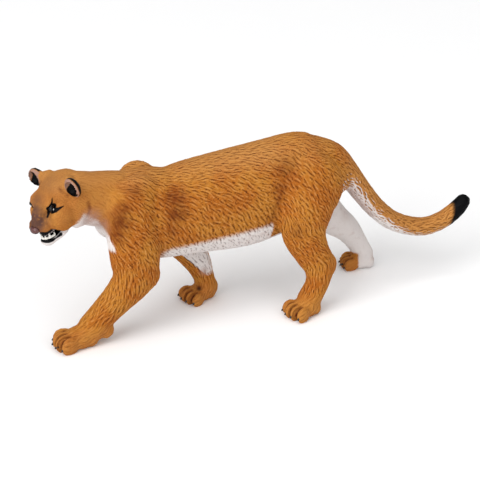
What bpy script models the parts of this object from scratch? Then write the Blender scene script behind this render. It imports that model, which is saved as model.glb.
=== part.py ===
"""Toy cougar: a moulded and painted vinyl figure in a walking pose, its head turned to its left.

The figure is modelled whole, from lofted limbs and rounded muscle forms that are fused and smoothed,
and is then parted with thin cuts into the pieces that a person would name. Metres, +Z up. The animal
faces -X, its left side is -Y, and it stands on the floor at z = 0.
"""

import math
from collections import namedtuple

import bmesh
import bpy
from mathutils import Matrix, Vector

MM = 0.001

# Driving dimensions of the figure, in millimetres.
BODY_HALF_WIDTH = 12.2  # at the ribs
HEAD_SCALE = 0.97  # of the head drawn below
PARTING = 0.28  # the thin cut between two pieces
SHARP_EDGE = 50.0  # degrees: a bend as sharp as a cut's rim stays an edge when the piece is shaded smooth

# Surface quality: the fused form's voxel, the smoothing passes, and the share of triangles that stays.
VOXEL = 0.46
BODY_PASSES = 26
HEAD_PASSES = 5
HEAD_REACH = 15.0  # the head's few passes end this far from its centre
PAW_TOP = 8.0  # the paws' few passes end this high
SOFT_EDGE = 3.0  # from few passes to many
KEPT_SHARE = 0.038

Mesh = namedtuple("Mesh", "sides steps")
FINE = Mesh(20, 4)  # a loft's corners round a ring, and rings from one station to the next
COARSE = Mesh(12, 2)
END_RINGS = (0.35, 0.7, 0.92)  # share of the radius that each ring of a rounded end moves out by

Station = namedtuple("Station", "x y z high wide")
Form = namedtuple("Form", "at radii turn", defaults=((0.0, 0.0, 0.0),))
Finish = namedtuple("Finish", "colour roughness")

FINISHES = {
    "tawny_vinyl": Finish((0.53, 0.24, 0.06), 0.55),
    "dark_tip": Finish((0.010, 0.012, 0.022), 0.45),
    "nose_paint": Finish((0.20, 0.055, 0.06), 0.35),
    "eye_paint": Finish((0.012, 0.010, 0.010), 0.12),
    "tooth_paint": Finish((0.85, 0.84, 0.78), 0.3),
    "pale_paint": Finish((0.78, 0.74, 0.70), 0.55),
    "tongue_paint": Finish((0.74, 0.66, 0.62), 0.4),
}

# Which paint a piece wears, by the start of its name.
PAINT_OF = {
    "eye": "eye_paint",
    "nose": "nose_paint",
    "teeth": "tooth_paint",
    "tail_tip": "dark_tip",
    "lower_jaw": "pale_paint",
    "tongue": "tongue_paint",
}

# The trunk, from the chest to the rump. high is the half height and wide the half width of a section.
TORSO = (
    Station(-42.0, -0.5, 41.2, 8.8, 5.4),
    Station(-38.5, -0.3, 40.8, 13.9, 9.4),
    Station(-31.0, 0.0, 39.0, 15.4, 10.6),
    Station(-22.5, 0.0, 37.9, 15.1, 11.6),
    Station(-14.0, 0.0, 38.7, 15.9, BODY_HALF_WIDTH),
    Station(2.0, 0.0, 39.5, 17.3, 11.8),
    Station(13.0, 0.0, 41.3, 16.9, 10.8),
    Station(22.5, 0.0, 42.5, 16.7, 10.4),
    Station(29.2, 0.0, 42.9, 14.3, 9.2),
    Station(33.6, 0.0, 44.2, 9.4, 6.8),
)
NECK = (
    Station(-35.0, 0.0, 42.3, 12.3, 8.6),
    Station(-41.5, -0.6, 45.6, 9.7, 7.8),
    Station(-47.5, -1.6, 47.4, 8.9, 7.2),
    Station(-53.5, -2.6, 49.7, 8.1, 6.8),
)
TAIL = (
    Station(26.6, 0.0, 51.3, 6.0, 6.4),
    Station(33.9, 0.0, 48.6, 5.2, 5.2),
    Station(39.9, 0.0, 41.9, 4.2, 4.2),
    Station(44.8, 0.0, 35.0, 3.7, 3.8),
    Station(50.0, 0.0, 28.2, 3.5, 3.6),
    Station(56.0, 0.0, 22.6, 3.4, 3.4),
    Station(62.8, 0.0, 19.2, 3.3, 3.3),
    Station(69.4, 0.0, 18.0, 3.2, 3.2),
    Station(75.4, 0.0, 19.4, 3.1, 3.1),
    Station(80.2, 0.0, 22.4, 2.9, 3.0),
    Station(82.8, 0.0, 25.2, 2.6, 2.7),
)

# Each leg from its root inside the trunk to the ankle. high is the half depth fore and aft.
LEGS = {
    "foreleg_left": (
        Station(-36.5, -7.0, 48.0, 8.0, 4.2),
        Station(-36.9, -8.4, 39.0, 8.4, 5.2),
        Station(-36.4, -9.2, 30.4, 8.4, 5.0),
        Station(-36.8, -9.4, 21.8, 7.4, 4.6),
        Station(-42.0, -9.2, 15.4, 5.6, 4.3),
        Station(-47.6, -8.9, 9.8, 4.8, 4.1),
        Station(-51.2, -8.6, 5.6, 4.9, 4.1),
    ),
    "foreleg_right": (
        Station(-31.6, 7.0, 48.0, 7.4, 4.2),
        Station(-27.5, 8.4, 38.0, 7.8, 5.0),
        Station(-19.5, 9.4, 28.0, 7.2, 4.8),
        Station(-13.0, 9.9, 20.0, 6.0, 4.3),
        Station(-9.2, 9.8, 13.2, 4.6, 3.8),
        Station(-7.4, 9.3, 8.0, 3.6, 3.5),
        Station(-6.8, 8.8, 4.4, 3.7, 3.8),
    ),
    "hindleg_left": (
        Station(25.4, -6.6, 47.0, 9.4, 5.0),
        Station(22.6, -8.8, 38.0, 9.2, 6.0),
        Station(20.4, -10.4, 29.2, 7.8, 5.2),
        Station(22.4, -11.4, 22.4, 6.2, 4.4),
        Station(25.2, -12.2, 16.4, 5.4, 3.7),
        Station(24.5, -12.8, 10.6, 4.1, 3.5),
        Station(21.5, -13.0, 5.0, 4.1, 3.8),
    ),
    "hindleg_right": (
        Station(27.6, 6.6, 46.0, 9.2, 5.0),
        Station(28.8, 8.6, 36.6, 9.2, 5.8),
        Station(33.0, 10.2, 27.4, 8.0, 5.0),
        Station(39.4, 11.4, 20.8, 5.9, 4.3),
        Station(45.2, 12.2, 15.6, 4.7, 3.8),
        Station(49.4, 12.6, 9.6, 3.7, 3.6),
        Station(51.9, 12.9, 4.8, 3.7, 3.8),
    ),
}
# How far down each leg the knee or elbow cut and the ankle cut lie, as a share of its path.
LEG_CUTS = ((0.84, "_paw"), (0.5, "_lower"))
LEG_BLOCKS = ((18.0, 26.0, 22.0), (18.0, 20.0, 24.0))  # each cut reaches this far: across, fore and aft, down
SLEEVE = 1.7  # the leg's parting surface runs this far outside the leg's own form
SLEEVE_SHARES = (0.17, 0.28, 0.39, 0.5)
# Where the tail, the neck and the head part, as shares of their paths.
# A tail cut also has the width of its block, which keeps clear of the trunk.
TAIL_CUTS = (
    ("tail_tip", 0.84, 16.0),
    ("tail_lower", 0.6, 16.0),
    ("tail_upper", 0.36, 14.0),
    ("tail_root", 0.13, 10.4),
)
TAIL_REACH = 34.0
NECK_CUTS = (0.4, 0.84)
NECK_BLOCK = (40.0, 36.0, 40.0)

# Muscles and bony points that stand out of the trunk and the limbs.
MUSCLES = (
    Form((-31.0, 4.6, 49.8), (6.4, 2.8, 5.6), (0, 18, 0)),  # right shoulder blade, carrying the weight
    Form((-33.4, -5.4, 48.1), (7.2, 3.2, 6.5), (0, 18, 0)),  # left shoulder blade
    Form((-39.8, -6.8, 36.0), (5.2, 4.2, 8.4), (0, -8, 0)),  # point of the left shoulder
    Form((-33.8, 6.4, 37.5), (5.2, 4.0, 7.6), (0, -10, 0)),  # point of the right shoulder
    Form((23.6, -7.4, 41.6), (11.4, 5.6, 12.4), (0, 12, 0)),  # left haunch
    Form((25.0, 7.4, 39.4), (11.0, 5.4, 12.0), (0, -6, 0)),  # right haunch
    Form((27.6, -4.8, 39.8), (5.0, 4.0, 8.2), (0, 14, 0)),  # left seat bone
    Form((28.4, 4.8, 38.0), (5.0, 4.0, 8.2), (0, 14, 0)),  # right seat bone
    Form((-31.2, -9.8, 20.8), (2.6, 2.6, 4.4), (0, 24, 0)),  # left elbow
    Form((29.1, -12.0, 15.8), (2.5, 2.2, 4.0), (0, 8, 0)),  # left hock
    Form((44.8, 12.3, 18.0), (2.4, 2.2, 2.8), (0, 0, 0)),  # right hock
    Form((-46.8, -9.2, 4.6), (2.8, 2.8, 3.0), (0, 0, 0)),  # left wrist pad
    Form((-4.8, 8.8, 4.2), (2.2, 2.8, 3.2), (0, 0, 0)),  # right wrist pad
)

Paw = namedtuple("Paw", "x y heading length width height spread")
PAWS = {
    "foreleg_left": Paw(-56.6, -9.0, 6.0, 15.2, 9.8, 7.5, 1.0),
    "foreleg_right": Paw(-9.6, 8.5, 18.0, 12.4, 9.2, 5.8, 1.1),
    "hindleg_left": Paw(19.1, -14.0, 16.0, 12.8, 9.4, 6.6, 1.1),
    "hindleg_right": Paw(49.9, 12.9, -13.0, 12.4, 8.6, 5.6, 1.0),
}
TOES = 4
FLOOR_BLOCK = (400.0, 400.0, 60.0)  # cuts the soles flat

# The head's own frame: its centre in the figure, then how it turns left, dips and leans, in degrees.
HEAD_CENTRE = Vector((-59.2, -2.7, 46.9))
HEAD_YAW, HEAD_DIP, HEAD_LEAN = 28.0, 24.0, 7.0

# The head's forms, in that frame: x forward, y to its left, z up. A pair stands at +y and -y.
HEAD_SINGLE = (
    Form((-3.9, 0.0, 3.6), (8.5, 7.2, 5.8)),  # skull
    Form((2.4, 0.0, 5.2), (4.6, 5.2, 3.2), (0, 26, 0)),  # forehead
    Form((7.0, 0.0, 2.9), (4.9, 2.3, 2.1), (0, 42, 0)),  # bridge of the nose
    Form((9.8, 0.0, -0.3), (1.9, 2.2, 1.9)),  # tip of the nose
    Form((5.8, 0.0, -0.6), (5.0, 4.4, 3.4), (0, 24, 0)),  # muzzle
    Form((3.4, 0.0, -6.5), (6.4, 4.0, 1.9), (0, 7, 0)),  # lower jaw
    Form((8.3, 0.0, -6.8), (2.8, 3.0, 1.7)),  # chin
    Form((-4.5, 0.0, -3.0), (6.0, 5.6, 5.2)),  # throat
)
HEAD_PAIRED = (
    Form((3.5, 3.2, 6.3), (2.4, 1.7, 1.25), (0, 24, 24)),  # brow
    Form((-4.8, 4.8, 7.4), (2.8, 2.2, 2.2)),  # root of the ear
    Form((8.3, 2.2, -1.2), (2.9, 2.4, 2.2), (0, 12, 18)),  # whisker pad
    Form((2.2, 5.0, -0.8), (5.0, 2.9, 4.8), (0, 20, 0)),  # cheek
    Form((-2.4, 5.2, -3.6), (4.6, 3.2, 4.5)),  # corner of the jaw
)
EYE = Form((4.1, 4.4, 4.5), (1.7, 1.0, 1.1), (0, 12, 38))
EYE_SEAT = 0.26  # the socket is this much larger than the eye all round
NOSE_LEATHER = Form((10.9, 0.0, -0.4), (1.4, 2.0, 1.3))
NOSTRIL = Form((11.5, 1.1, -0.8), (0.7, 0.42, 0.42))
MOUTH = Form((8.2, 0.0, -3.7), (4.9, 5.2, 2.3), (0, -12, 0))

EAR_ROOT = Vector((-3.7, 7.4, 6.5))
EAR_AXIS = Vector((0.0, 0.89, 0.46))
EAR_FACE = Vector((0.88, 0.15, 0.25))  # the way the cup opens
EAR_LENGTH, EAR_HALF_WIDTH, EAR_HALF_DEPTH = 5.4, 3.6, 1.9
EAR_WALL = 1.05
EAR_CUT = 0.9  # the ear parts from the head this far up from its root
EAR_BLOCK = (12.0, 12.0, 12.0)
JAW_BACK, JAW_TOP = 1.6, -5.35  # the lower jaw lies ahead of the one and below the other
JAW_BLOCK = (40.0, 40.0, 20.0)

CANINE = (0.5, 1.5)  # radius at the root, length
INCISOR = (0.38, 1.0)
TEETH_A_SIDE, CANINE_PLACE = 3, 2  # teeth on each side of the middle one, and which of them is the canine
ARCH_TURN = 78.0  # degrees from the middle tooth to the last
ARCH_HALF_WIDTH = 2.5  # of the tooth row
ARCH_DEPTH = 4.0
GUM = 0.42
# The lower gum's front point in the head's frame, and how far it tips up at the front.
LOWER_ROW = (Vector((10.0, 0.0, -5.0)), 8.0)
TONGUE = Form((6.4, 0.0, -5.1), (2.5, 0.9, 0.55), (0, -8, 0))


def clear_scene():
    """Removes every object that the scene holds."""
    for old in list(bpy.data.objects):
        bpy.data.objects.remove(old, do_unlink=True)


def turn_matrix(degrees):
    """A rotation from three angles in degrees, about X, then Y, then Z."""
    x, y, z = (math.radians(d) for d in degrees)
    return Matrix.Rotation(z, 4, "Z") @ Matrix.Rotation(y, 4, "Y") @ Matrix.Rotation(x, 4, "X")


def new_object(name, bm, group):
    """Writes bm, which is in millimetres, as an object of that collection, in metres."""
    mesh = bpy.data.meshes.new(name)
    bmesh.ops.transform(bm, matrix=Matrix.Scale(MM, 4), verts=bm.verts)
    bmesh.ops.recalc_face_normals(bm, faces=bm.faces)
    bm.to_mesh(mesh)
    bm.free()
    made = bpy.data.objects.new(name, mesh)
    group.objects.link(made)
    return made


def catmull(before, start, end, after, t):
    """The point at share t from start to end on the smooth curve through the four."""
    return 0.5 * (
        2 * start
        + (end - before) * t
        + (2 * before - 5 * start + 4 * end - after) * t**2
        + (3 * start - before - 3 * end + after) * t**3
    )


def along(stations, share):
    """The station at that share of the path, between the given ones."""
    place = share * (len(stations) - 1)
    i = min(int(place), len(stations) - 2)
    window = [stations[max(0, min(len(stations) - 1, i + k))] for k in (-1, 0, 1, 2)]
    return Station(*(catmull(*column, place - i) for column in zip(*window)))


def rings_of(stations, grow, mesh):
    """Rings of points round the path, rounded off at both ends. A ring's height lies across the path."""
    count = mesh.steps * (len(stations) - 1)
    path = [along(stations, i / count) for i in range(count + 1)]
    centres = [Vector((s.x, s.y, s.z)) for s in path]
    rings = []
    for i, station in enumerate(path):
        tangent = (centres[min(i + 1, count)] - centres[max(i - 1, 0)]).normalized()
        side = (Vector((0, 1, 0)) - tangent * tangent.y).normalized()
        up = tangent.cross(side)
        high, wide = station.high + grow, station.wide + grow
        middles = [(centres[i], 1.0)]
        if i in (0, count):
            out = -tangent if i == 0 else tangent
            reach = min(high, wide)
            middles += [(centres[i] + out * reach * s, math.sqrt(1 - s * s)) for s in END_RINGS]
        if i == 0:
            middles.reverse()
        for middle, share in middles:
            corners = [2 * math.pi * k / mesh.sides for k in range(mesh.sides)]
            rings.append(
                [middle + up * high * share * math.cos(a) + side * wide * share * math.sin(a) for a in corners]
            )
    return rings


def tube(rings):
    """A closed body through rings of points that all have as many corners."""
    bm = bmesh.new()
    rings = [[bm.verts.new(p) for p in ring] for ring in rings]
    for ring, following in zip(rings, rings[1:]):
        for k, corner in enumerate(ring):
            nxt = (k + 1) % len(ring)
            bm.faces.new((corner, ring[nxt], following[nxt], following[k]))
    bm.faces.new(rings[0])
    bm.faces.new(rings[-1])
    return bm


def loft(name, stations, group, grow=0.0, mesh=FINE):
    """A closed body whose elliptical sections follow the stations."""
    return new_object(name, tube(rings_of(stations, grow, mesh)), group)


def ellipsoid(name, form, group, frame=None, grow=0.0, segments=20):
    """A rounded form: its centre, its three radii and its turn, in the frame given."""
    bm = bmesh.new()
    bmesh.ops.create_uvsphere(bm, u_segments=segments, v_segments=segments // 2, radius=1.0)
    size = Matrix.Diagonal([r + grow for r in form.radii] + [1.0])
    place = Matrix.Translation(form.at) @ turn_matrix(form.turn) @ size
    bm.transform((frame or Matrix()) @ place)
    return new_object(name, bm, group)


def mirrored(form):
    """The same form on the other side of its frame's y = 0."""
    x, y, z = form.turn
    return Form((form.at[0], -form.at[1], form.at[2]), form.radii, (-x, y, -z))


def head_frame():
    """From the head's own frame, in millimetres, to the figure's."""
    turned = Matrix.Rotation(math.radians(180.0 + HEAD_YAW), 4, "Z")
    dipped = Matrix.Rotation(math.radians(HEAD_DIP), 4, "Y")
    leaned = Matrix.Rotation(math.radians(HEAD_LEAN), 4, "X")
    return Matrix.Translation(HEAD_CENTRE) @ turned @ dipped @ leaned @ Matrix.Scale(HEAD_SCALE, 4)


def paw_forms(paw):
    """The forms of one paw: the pad, the heel and a fan of toes."""
    heading = Matrix.Translation((paw.x, paw.y, 0)) @ Matrix.Rotation(
        math.radians(180.0 + paw.heading), 4, "Z"
    )
    length, width, height = paw.length / 2, paw.width / 2, paw.height
    forms = [
        Form((-length * 0.18, 0, height * 0.42), (length * 0.72, width * 0.86, height * 0.52)),
        Form((-length * 0.6, 0, height * 0.36), (length * 0.38, width * 0.78, height * 0.46)),
    ]
    for k in range(TOES):
        across = (k - (TOES - 1) / 2) / (TOES - 1)
        reach = length * (0.56 - 0.62 * across * across)
        at = (reach, across * width * 1.42 * paw.spread, height * 0.34)
        forms.append(Form(at, (length * 0.46, width * 0.285, height * 0.44), (0, 12, 26 * across)))
    return heading, forms


def ear_frame(side):
    """The ear's frame inside the head's: x across the ear, y out of its cup, z up the ear."""
    flip = Vector((1, side, 1))
    up = (EAR_AXIS * flip).normalized()
    face = (EAR_FACE * flip).normalized()
    face = (face - up * face.dot(up)).normalized()
    across = face.cross(up)
    axes = Matrix((across, face, up)).transposed().to_4x4()
    return Matrix.Translation(EAR_ROOT * flip) @ axes


def ear_body(name, side, group, frame):
    """One ear's rounded shell, before its cup is hollowed."""
    shell = Form((0, 0, EAR_LENGTH * 0.34), (EAR_HALF_WIDTH, EAR_HALF_DEPTH, EAR_LENGTH * 0.66))
    return ellipsoid(name, shell, group, frame @ ear_frame(side))


def ear_cup(name, side, group, frame):
    """The body that hollows one ear's cup, open to the front."""
    hollow = Form(
        (0, EAR_WALL * 1.15, EAR_LENGTH * 0.42),
        (EAR_HALF_WIDTH - EAR_WALL, EAR_HALF_DEPTH, EAR_LENGTH * 0.66 - EAR_WALL),
    )
    return ellipsoid(name, hollow, group, frame @ ear_frame(side))


def baked(obj):
    """Replaces the object's mesh with the mesh that its modifiers give, and drops them."""
    graph = bpy.context.evaluated_depsgraph_get()
    mesh = bpy.data.meshes.new_from_object(obj.evaluated_get(graph))
    obj.modifiers.clear()
    obj.data = mesh
    return obj


def drop(objects):
    """Removes helper objects."""
    for obj in objects:
        bpy.data.objects.remove(obj, do_unlink=True)


def largest_body(obj):
    """Keeps only the largest closed surface of the mesh."""
    bm = bmesh.new()
    bm.from_mesh(obj.data)
    left, bodies = set(bm.verts), []
    while left:
        seed = left.pop()
        body, edge = {seed}, [seed]
        while edge:
            near = [e.other_vert(v) for v in edge for e in v.link_edges]
            edge = list(set(near) - body)
            body.update(edge)
        left -= body
        bodies.append(body)
    keep = max(bodies, key=len)
    bmesh.ops.delete(bm, geom=[v for v in bm.verts if v not in keep], context="VERTS")
    bm.to_mesh(obj.data)
    bm.free()


def boolean(obj, cutters, operation):
    """Applies one Boolean with each cutter in turn, and removes the cutters."""
    for cutter in cutters:
        modifier = obj.modifiers.new(operation, "BOOLEAN")
        modifier.operation = operation
        modifier.object = cutter
        modifier.solver = "EXACT"
    baked(obj)
    drop(cutters)
    return obj


def cut(obj, cutters):
    """Takes the cutters' volume out of the object."""
    return boolean(obj, cutters, "DIFFERENCE")


def fused(name, pieces, group):
    """Makes the pieces one skin on a fine grid of voxels."""
    bm = bmesh.new()
    for piece in pieces:
        bm.from_mesh(piece.data)
    mesh = bpy.data.meshes.new(name)
    bm.to_mesh(mesh)
    bm.free()
    drop(pieces)
    whole = bpy.data.objects.new(name, mesh)
    group.objects.link(whole)
    remesh = whole.modifiers.new("fuse", "REMESH")
    remesh.mode = "VOXEL"
    remesh.voxel_size = VOXEL * MM
    return baked(whole)


def weight_group(obj, name, weigh):
    """A vertex group whose weights come from a function of the point in millimetres."""
    group = obj.vertex_groups.new(name=name)
    for vertex in obj.data.vertices:
        group.add([vertex.index], weigh(vertex.co / MM), "REPLACE")


def is_detail(point):
    """1 on the head and the paws, whose forms are small, 0 on the trunk, with a soft edge between."""
    head = (HEAD_REACH - (point - HEAD_CENTRE).length) / SOFT_EDGE
    paw = (PAW_TOP - point.z) / SOFT_EDGE
    return min(1.0, max(0.0, head, paw))


def smoothed(obj):
    """Blends the fused forms: many passes on the trunk and limbs, few on the head and the paws."""
    weight_group(obj, "trunk", lambda p: 1.0 - is_detail(p))
    weight_group(obj, "detail", is_detail)
    for name, passes in (("trunk", BODY_PASSES), ("detail", HEAD_PASSES)):
        smooth = obj.modifiers.new(name, "SMOOTH")
        smooth.factor = 0.5
        smooth.iterations = passes
        smooth.vertex_group = name
    return baked(obj)


def thinned(obj):
    """Lowers the triangle count, most where the form is flat."""
    thin = obj.modifiers.new("thin", "DECIMATE")
    thin.ratio = KEPT_SHARE
    return baked(obj)


def box(name, at, size, frame, group):
    """A block whose lower face's centre is at the point, so that it spans up the frame's z."""
    bm = bmesh.new()
    bmesh.ops.create_cube(bm, size=1.0)
    place = Matrix.Translation(Vector(at) + Vector((0, 0, size[2] / 2)))
    bm.transform(frame @ place @ Matrix.Diagonal([*size, 1.0]))
    return new_object(name, bm, group)


def cut_frame(point, direction):
    """A frame at the point with its z along the direction."""
    return Matrix.Translation(point) @ Vector(direction).to_track_quat("Z", "Y").to_matrix().to_4x4()


def copy_of(obj, name):
    """Another object with its own copy of the mesh."""
    made = bpy.data.objects.new(name, obj.data.copy())
    obj.users_collection[0].objects.link(made)
    return made


def part_off(obj, name, kept, removed):
    """Parts a piece off the object: what lies in kept becomes the new piece, and removed is cut away."""
    piece = boolean(copy_of(obj, name), [kept], "INTERSECT")
    cut(obj, [removed])
    largest_body(piece)
    largest_body(obj)
    return piece


def part_at(obj, name, point, direction, size, group):
    """Parts off what lies beyond the point in that direction, within a block of that size."""
    frame = cut_frame(point, direction)
    half = PARTING / 2
    kept = box("kept", (0, 0, half), size, frame, group)
    removed = box("removed", (0, 0, -half), size, frame, group)
    return part_off(obj, name, kept, removed)


def place_and_way(stations, share):
    """The point at that share of a path, and the way the path runs there."""
    here, ahead = along(stations, share), along(stations, share + 0.02)
    point = Vector((here.x, here.y, here.z))
    return point, Vector((ahead.x, ahead.y, ahead.z)) - point


def whole_figure(group):
    """The whole animal as one smooth skin with flat soles."""
    frame = head_frame()
    pieces = [loft("torso_form", TORSO, group), loft("neck_form", NECK, group), loft("tail_form", TAIL, group)]
    pieces += [loft(name + "_form", stations, group) for name, stations in LEGS.items()]
    pieces += [ellipsoid("muscle", form, group) for form in MUSCLES]
    for paw in PAWS.values():
        heading, forms = paw_forms(paw)
        pieces += [ellipsoid("paw", form, group, heading) for form in forms]
    pieces += [ellipsoid("head", form, group, frame) for form in HEAD_SINGLE]
    for form in HEAD_PAIRED:
        pieces += [ellipsoid("head", form, group, frame), ellipsoid("head", mirrored(form), group, frame)]
    pieces += [ear_body("ear", side, group, frame) for side in (1, -1)]
    whole = thinned(smoothed(fused("whole", pieces, group)))
    below = box("below", (0, 0, 0), FLOOR_BLOCK, cut_frame((0, 0, 0), (0, 0, -1)), group)
    cut(whole, [below])
    largest_body(whole)
    return whole


def part_legs(whole, group):
    """Parts the paws, then the lower legs, and then each upper leg along a sleeve round its own form."""
    pieces = []
    for name, stations in LEGS.items():
        for (share, part), block in zip(LEG_CUTS, LEG_BLOCKS):
            point, down = place_and_way(stations, share)
            pieces.append(part_at(whole, name + part, point, down, block, group))
        sleeve = [along(stations, share) for share in SLEEVE_SHARES]
        first, last = sleeve[-2:]
        onward = [2 * b - a for a, b in zip(first[:3], last[:3])]
        sleeve.append(Station(*onward, *last[3:]))
        kept = loft("kept", sleeve, group, SLEEVE - PARTING / 2, COARSE)
        removed = loft("removed", sleeve, group, SLEEVE + PARTING / 2, COARSE)
        pieces.append(part_off(whole, name + "_upper", kept, removed))
    return pieces


def part_tail(whole, group):
    """Parts the tail off in lengths, the tip first."""
    pieces = []
    for name, share, width in TAIL_CUTS:
        point, outward = place_and_way(TAIL, share)
        pieces.append(part_at(whole, name, point, outward, (width, width, TAIL_REACH), group))
    return pieces


def part_head(whole, group):
    """Parts the neck off the trunk and the head off the neck."""
    point, ahead = place_and_way(NECK, NECK_CUTS[0])
    neck = part_at(whole, "neck", point, ahead, NECK_BLOCK, group)
    point, ahead = place_and_way(NECK, NECK_CUTS[1])
    head = part_at(neck, "head", point, ahead, NECK_BLOCK, group)
    return neck, head


def both_sides(form):
    """A form and its mirror image, each with the name of its side."""
    return (("_left", form), ("_right", mirrored(form)))


def face_pieces(head, group):
    """Cuts the eyes', the nose's and the mouth's seats in the head, and adds what sits in them."""
    frame = head_frame()
    cut(head, [ellipsoid("mouth", MOUTH, group, frame)])
    pieces = []
    for side, form in both_sides(EYE):
        cut(head, [ellipsoid("seat", form, group, frame, grow=EYE_SEAT, segments=12)])
        pieces.append(ellipsoid("eye" + side, form, group, frame, segments=12))
    cut(head, [ellipsoid("seat", NOSE_LEATHER, group, frame, grow=EYE_SEAT, segments=12)])
    nose = ellipsoid("nose", NOSE_LEATHER, group, frame, segments=12)
    cut(nose, [ellipsoid("nostril" + side, form, group, frame, segments=8) for side, form in both_sides(NOSTRIL)])
    pieces.append(nose)
    for side, sign in (("_left", 1), ("_right", -1)):
        flip = Vector((1, sign, 1))
        way = frame.to_3x3() @ (EAR_AXIS * flip)
        root = frame @ ((EAR_ROOT + EAR_AXIS * EAR_CUT) * flip)
        cut(head, [ear_cup("cup" + side, sign, group, frame)])
        pieces.append(part_at(head, "ear" + side, root, way, EAR_BLOCK, group))
    half = PARTING / 2
    ahead, below = JAW_BACK + JAW_BLOCK[0] / 2, JAW_TOP - JAW_BLOCK[2]
    kept = box("kept", (ahead + half, 0, below - half), JAW_BLOCK, frame, group)
    removed = box("removed", (ahead - half, 0, below + half), JAW_BLOCK, frame, group)
    pieces.append(part_off(head, "lower_jaw", kept, removed))
    return pieces


def tooth_row(name, front, tip_up, group):
    """A gum band bent to the arch, with a canine at each corner and small teeth between."""
    frame = head_frame() @ Matrix.Translation(front) @ turn_matrix((0, -tip_up, 0))
    rings, teeth = [], []
    for k in range(-TEETH_A_SIDE, TEETH_A_SIDE + 1):
        angle = math.radians(ARCH_TURN) * k / TEETH_A_SIDE
        out = Vector((math.cos(angle), math.sin(angle), 0.0))
        foot = Vector((-ARCH_DEPTH * (1 - out.x), ARCH_HALF_WIDTH * out.y, 0.0))
        corners = [math.pi / 3 * c for c in range(6)]
        rings.append([foot + GUM * Vector((out.x * math.cos(c), out.y * math.cos(c), math.sin(c))) for c in corners])
        radius, length = CANINE if abs(k) == CANINE_PLACE else INCISOR
        cone = bmesh.new()
        bmesh.ops.create_cone(cone, cap_ends=True, segments=6, radius1=radius, radius2=radius * 0.35, depth=length)
        cone.transform(frame @ Matrix.Translation(foot + Vector((0, 0, length / 2 + GUM * 0.3))))
        teeth.append(new_object("tooth", cone, group))
    bm = tube(rings)
    bm.transform(frame)
    return boolean(new_object(name, bm, group), teeth, "UNION")


def settle(objects):
    """Moves everything so that the figure's box stands centred on the origin, its soles at z = 0."""
    corners = [vertex.co for obj in objects for vertex in obj.data.vertices]
    low = [min(c[i] for c in corners) for i in range(3)]
    high = [max(c[i] for c in corners) for i in range(3)]
    shift = Vector((-(low[0] + high[0]) / 2, -(low[1] + high[1]) / 2, -low[2]))
    for obj in objects:
        obj.data.transform(Matrix.Translation(shift))
    return shift


def finish_of(name):
    """The paint of a piece, by its name."""
    for key, paint in PAINT_OF.items():
        if name.startswith(key):
            return paint
    return "tawny_vinyl"


def dress(objects):
    """Gives every piece its own material and shades its round faces smooth."""
    for obj in objects:
        finish = FINISHES[finish_of(obj.name)]
        material = bpy.data.materials.new(obj.name + "_paint")
        material.use_nodes = True
        shader = material.node_tree.nodes["Principled BSDF"]
        shader.inputs["Base Color"].default_value = (*finish.colour, 1.0)
        shader.inputs["Roughness"].default_value = finish.roughness
        shader.inputs["Metallic"].default_value = 0.0
        obj.data.materials.clear()
        obj.data.materials.append(material)
        obj.data.shade_smooth()
        obj.data.set_sharp_from_angle(angle=math.radians(SHARP_EDGE))


def main():
    """Builds the figure and parts it."""
    clear_scene()
    group = bpy.data.collections.new("toy_cougar")
    bpy.context.scene.collection.children.link(group)
    torso = whole_figure(group)
    torso.name = "torso"
    pieces = [torso, *part_legs(torso, group), *part_tail(torso, group), *part_head(torso, group)]
    pieces += face_pieces(pieces[-1], group)
    pieces.append(tooth_row("teeth_lower", *LOWER_ROW, group))
    pieces.append(ellipsoid("tongue", TONGUE, group, head_frame(), segments=12))
    settle(pieces)
    dress(pieces)


main()
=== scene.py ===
"""Looks of the toy cougar figurine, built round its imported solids.

One moulded vinyl skin stands for the fleshy solids. It is fused from copies of them, smoothed, carved with
the grooves of a combed coat, and painted through masks that the coat paint reads. The eyes, nose leather,
lower teeth, tongue and claws are pieces of their own. All modelling is in millimetres in the figurine's
drawing, which has the floor at z 0, the head toward -x and the animal's left toward -y. The last step turns
it into the frame's metres.
"""

import logging
import math
from dataclasses import dataclass
from enum import Enum
from typing import ClassVar

import bmesh
import bpy
import numpy as np
from mathutils import Matrix, Vector


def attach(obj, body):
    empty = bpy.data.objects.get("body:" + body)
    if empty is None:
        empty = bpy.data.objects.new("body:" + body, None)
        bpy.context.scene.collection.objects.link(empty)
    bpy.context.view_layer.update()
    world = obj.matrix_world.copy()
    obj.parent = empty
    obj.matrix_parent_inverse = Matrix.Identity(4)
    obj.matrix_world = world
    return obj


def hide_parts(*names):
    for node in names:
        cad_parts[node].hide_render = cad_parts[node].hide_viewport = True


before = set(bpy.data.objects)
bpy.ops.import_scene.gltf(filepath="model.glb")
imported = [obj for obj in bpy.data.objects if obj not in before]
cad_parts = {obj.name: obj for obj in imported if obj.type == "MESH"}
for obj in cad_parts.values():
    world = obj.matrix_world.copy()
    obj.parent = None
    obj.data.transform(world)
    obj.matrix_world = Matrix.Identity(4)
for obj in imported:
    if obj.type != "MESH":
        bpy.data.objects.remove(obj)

LOG = logging.getLogger("toy_cougar")
BODY = "root"
MM = 0.001
DRAWING_ORIGIN = np.array((-8.063, 0.972, 0.0))
SEED = 20261125
MIX_FIRST, MIX_SECOND, MIX_RESULT = 6, 7, 2  # a Mix node's sockets for colours

Array = np.ndarray
Point = tuple[float, float, float]
Colour = tuple[float, float, float, float]


class Slot(Enum):
    """The record's names of the finishes."""

    COAT = "tawny_vinyl"
    EYE = "eye_paint"
    NOSE = "nose_paint"
    TOOTH = "tooth_paint"
    TONGUE = "tongue_paint"
    DARK = "dark_tip"


class Side(Enum):
    """A side of the animal, as the sign of its y in the drawing."""

    LEFT = -1.0
    RIGHT = 1.0


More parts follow.
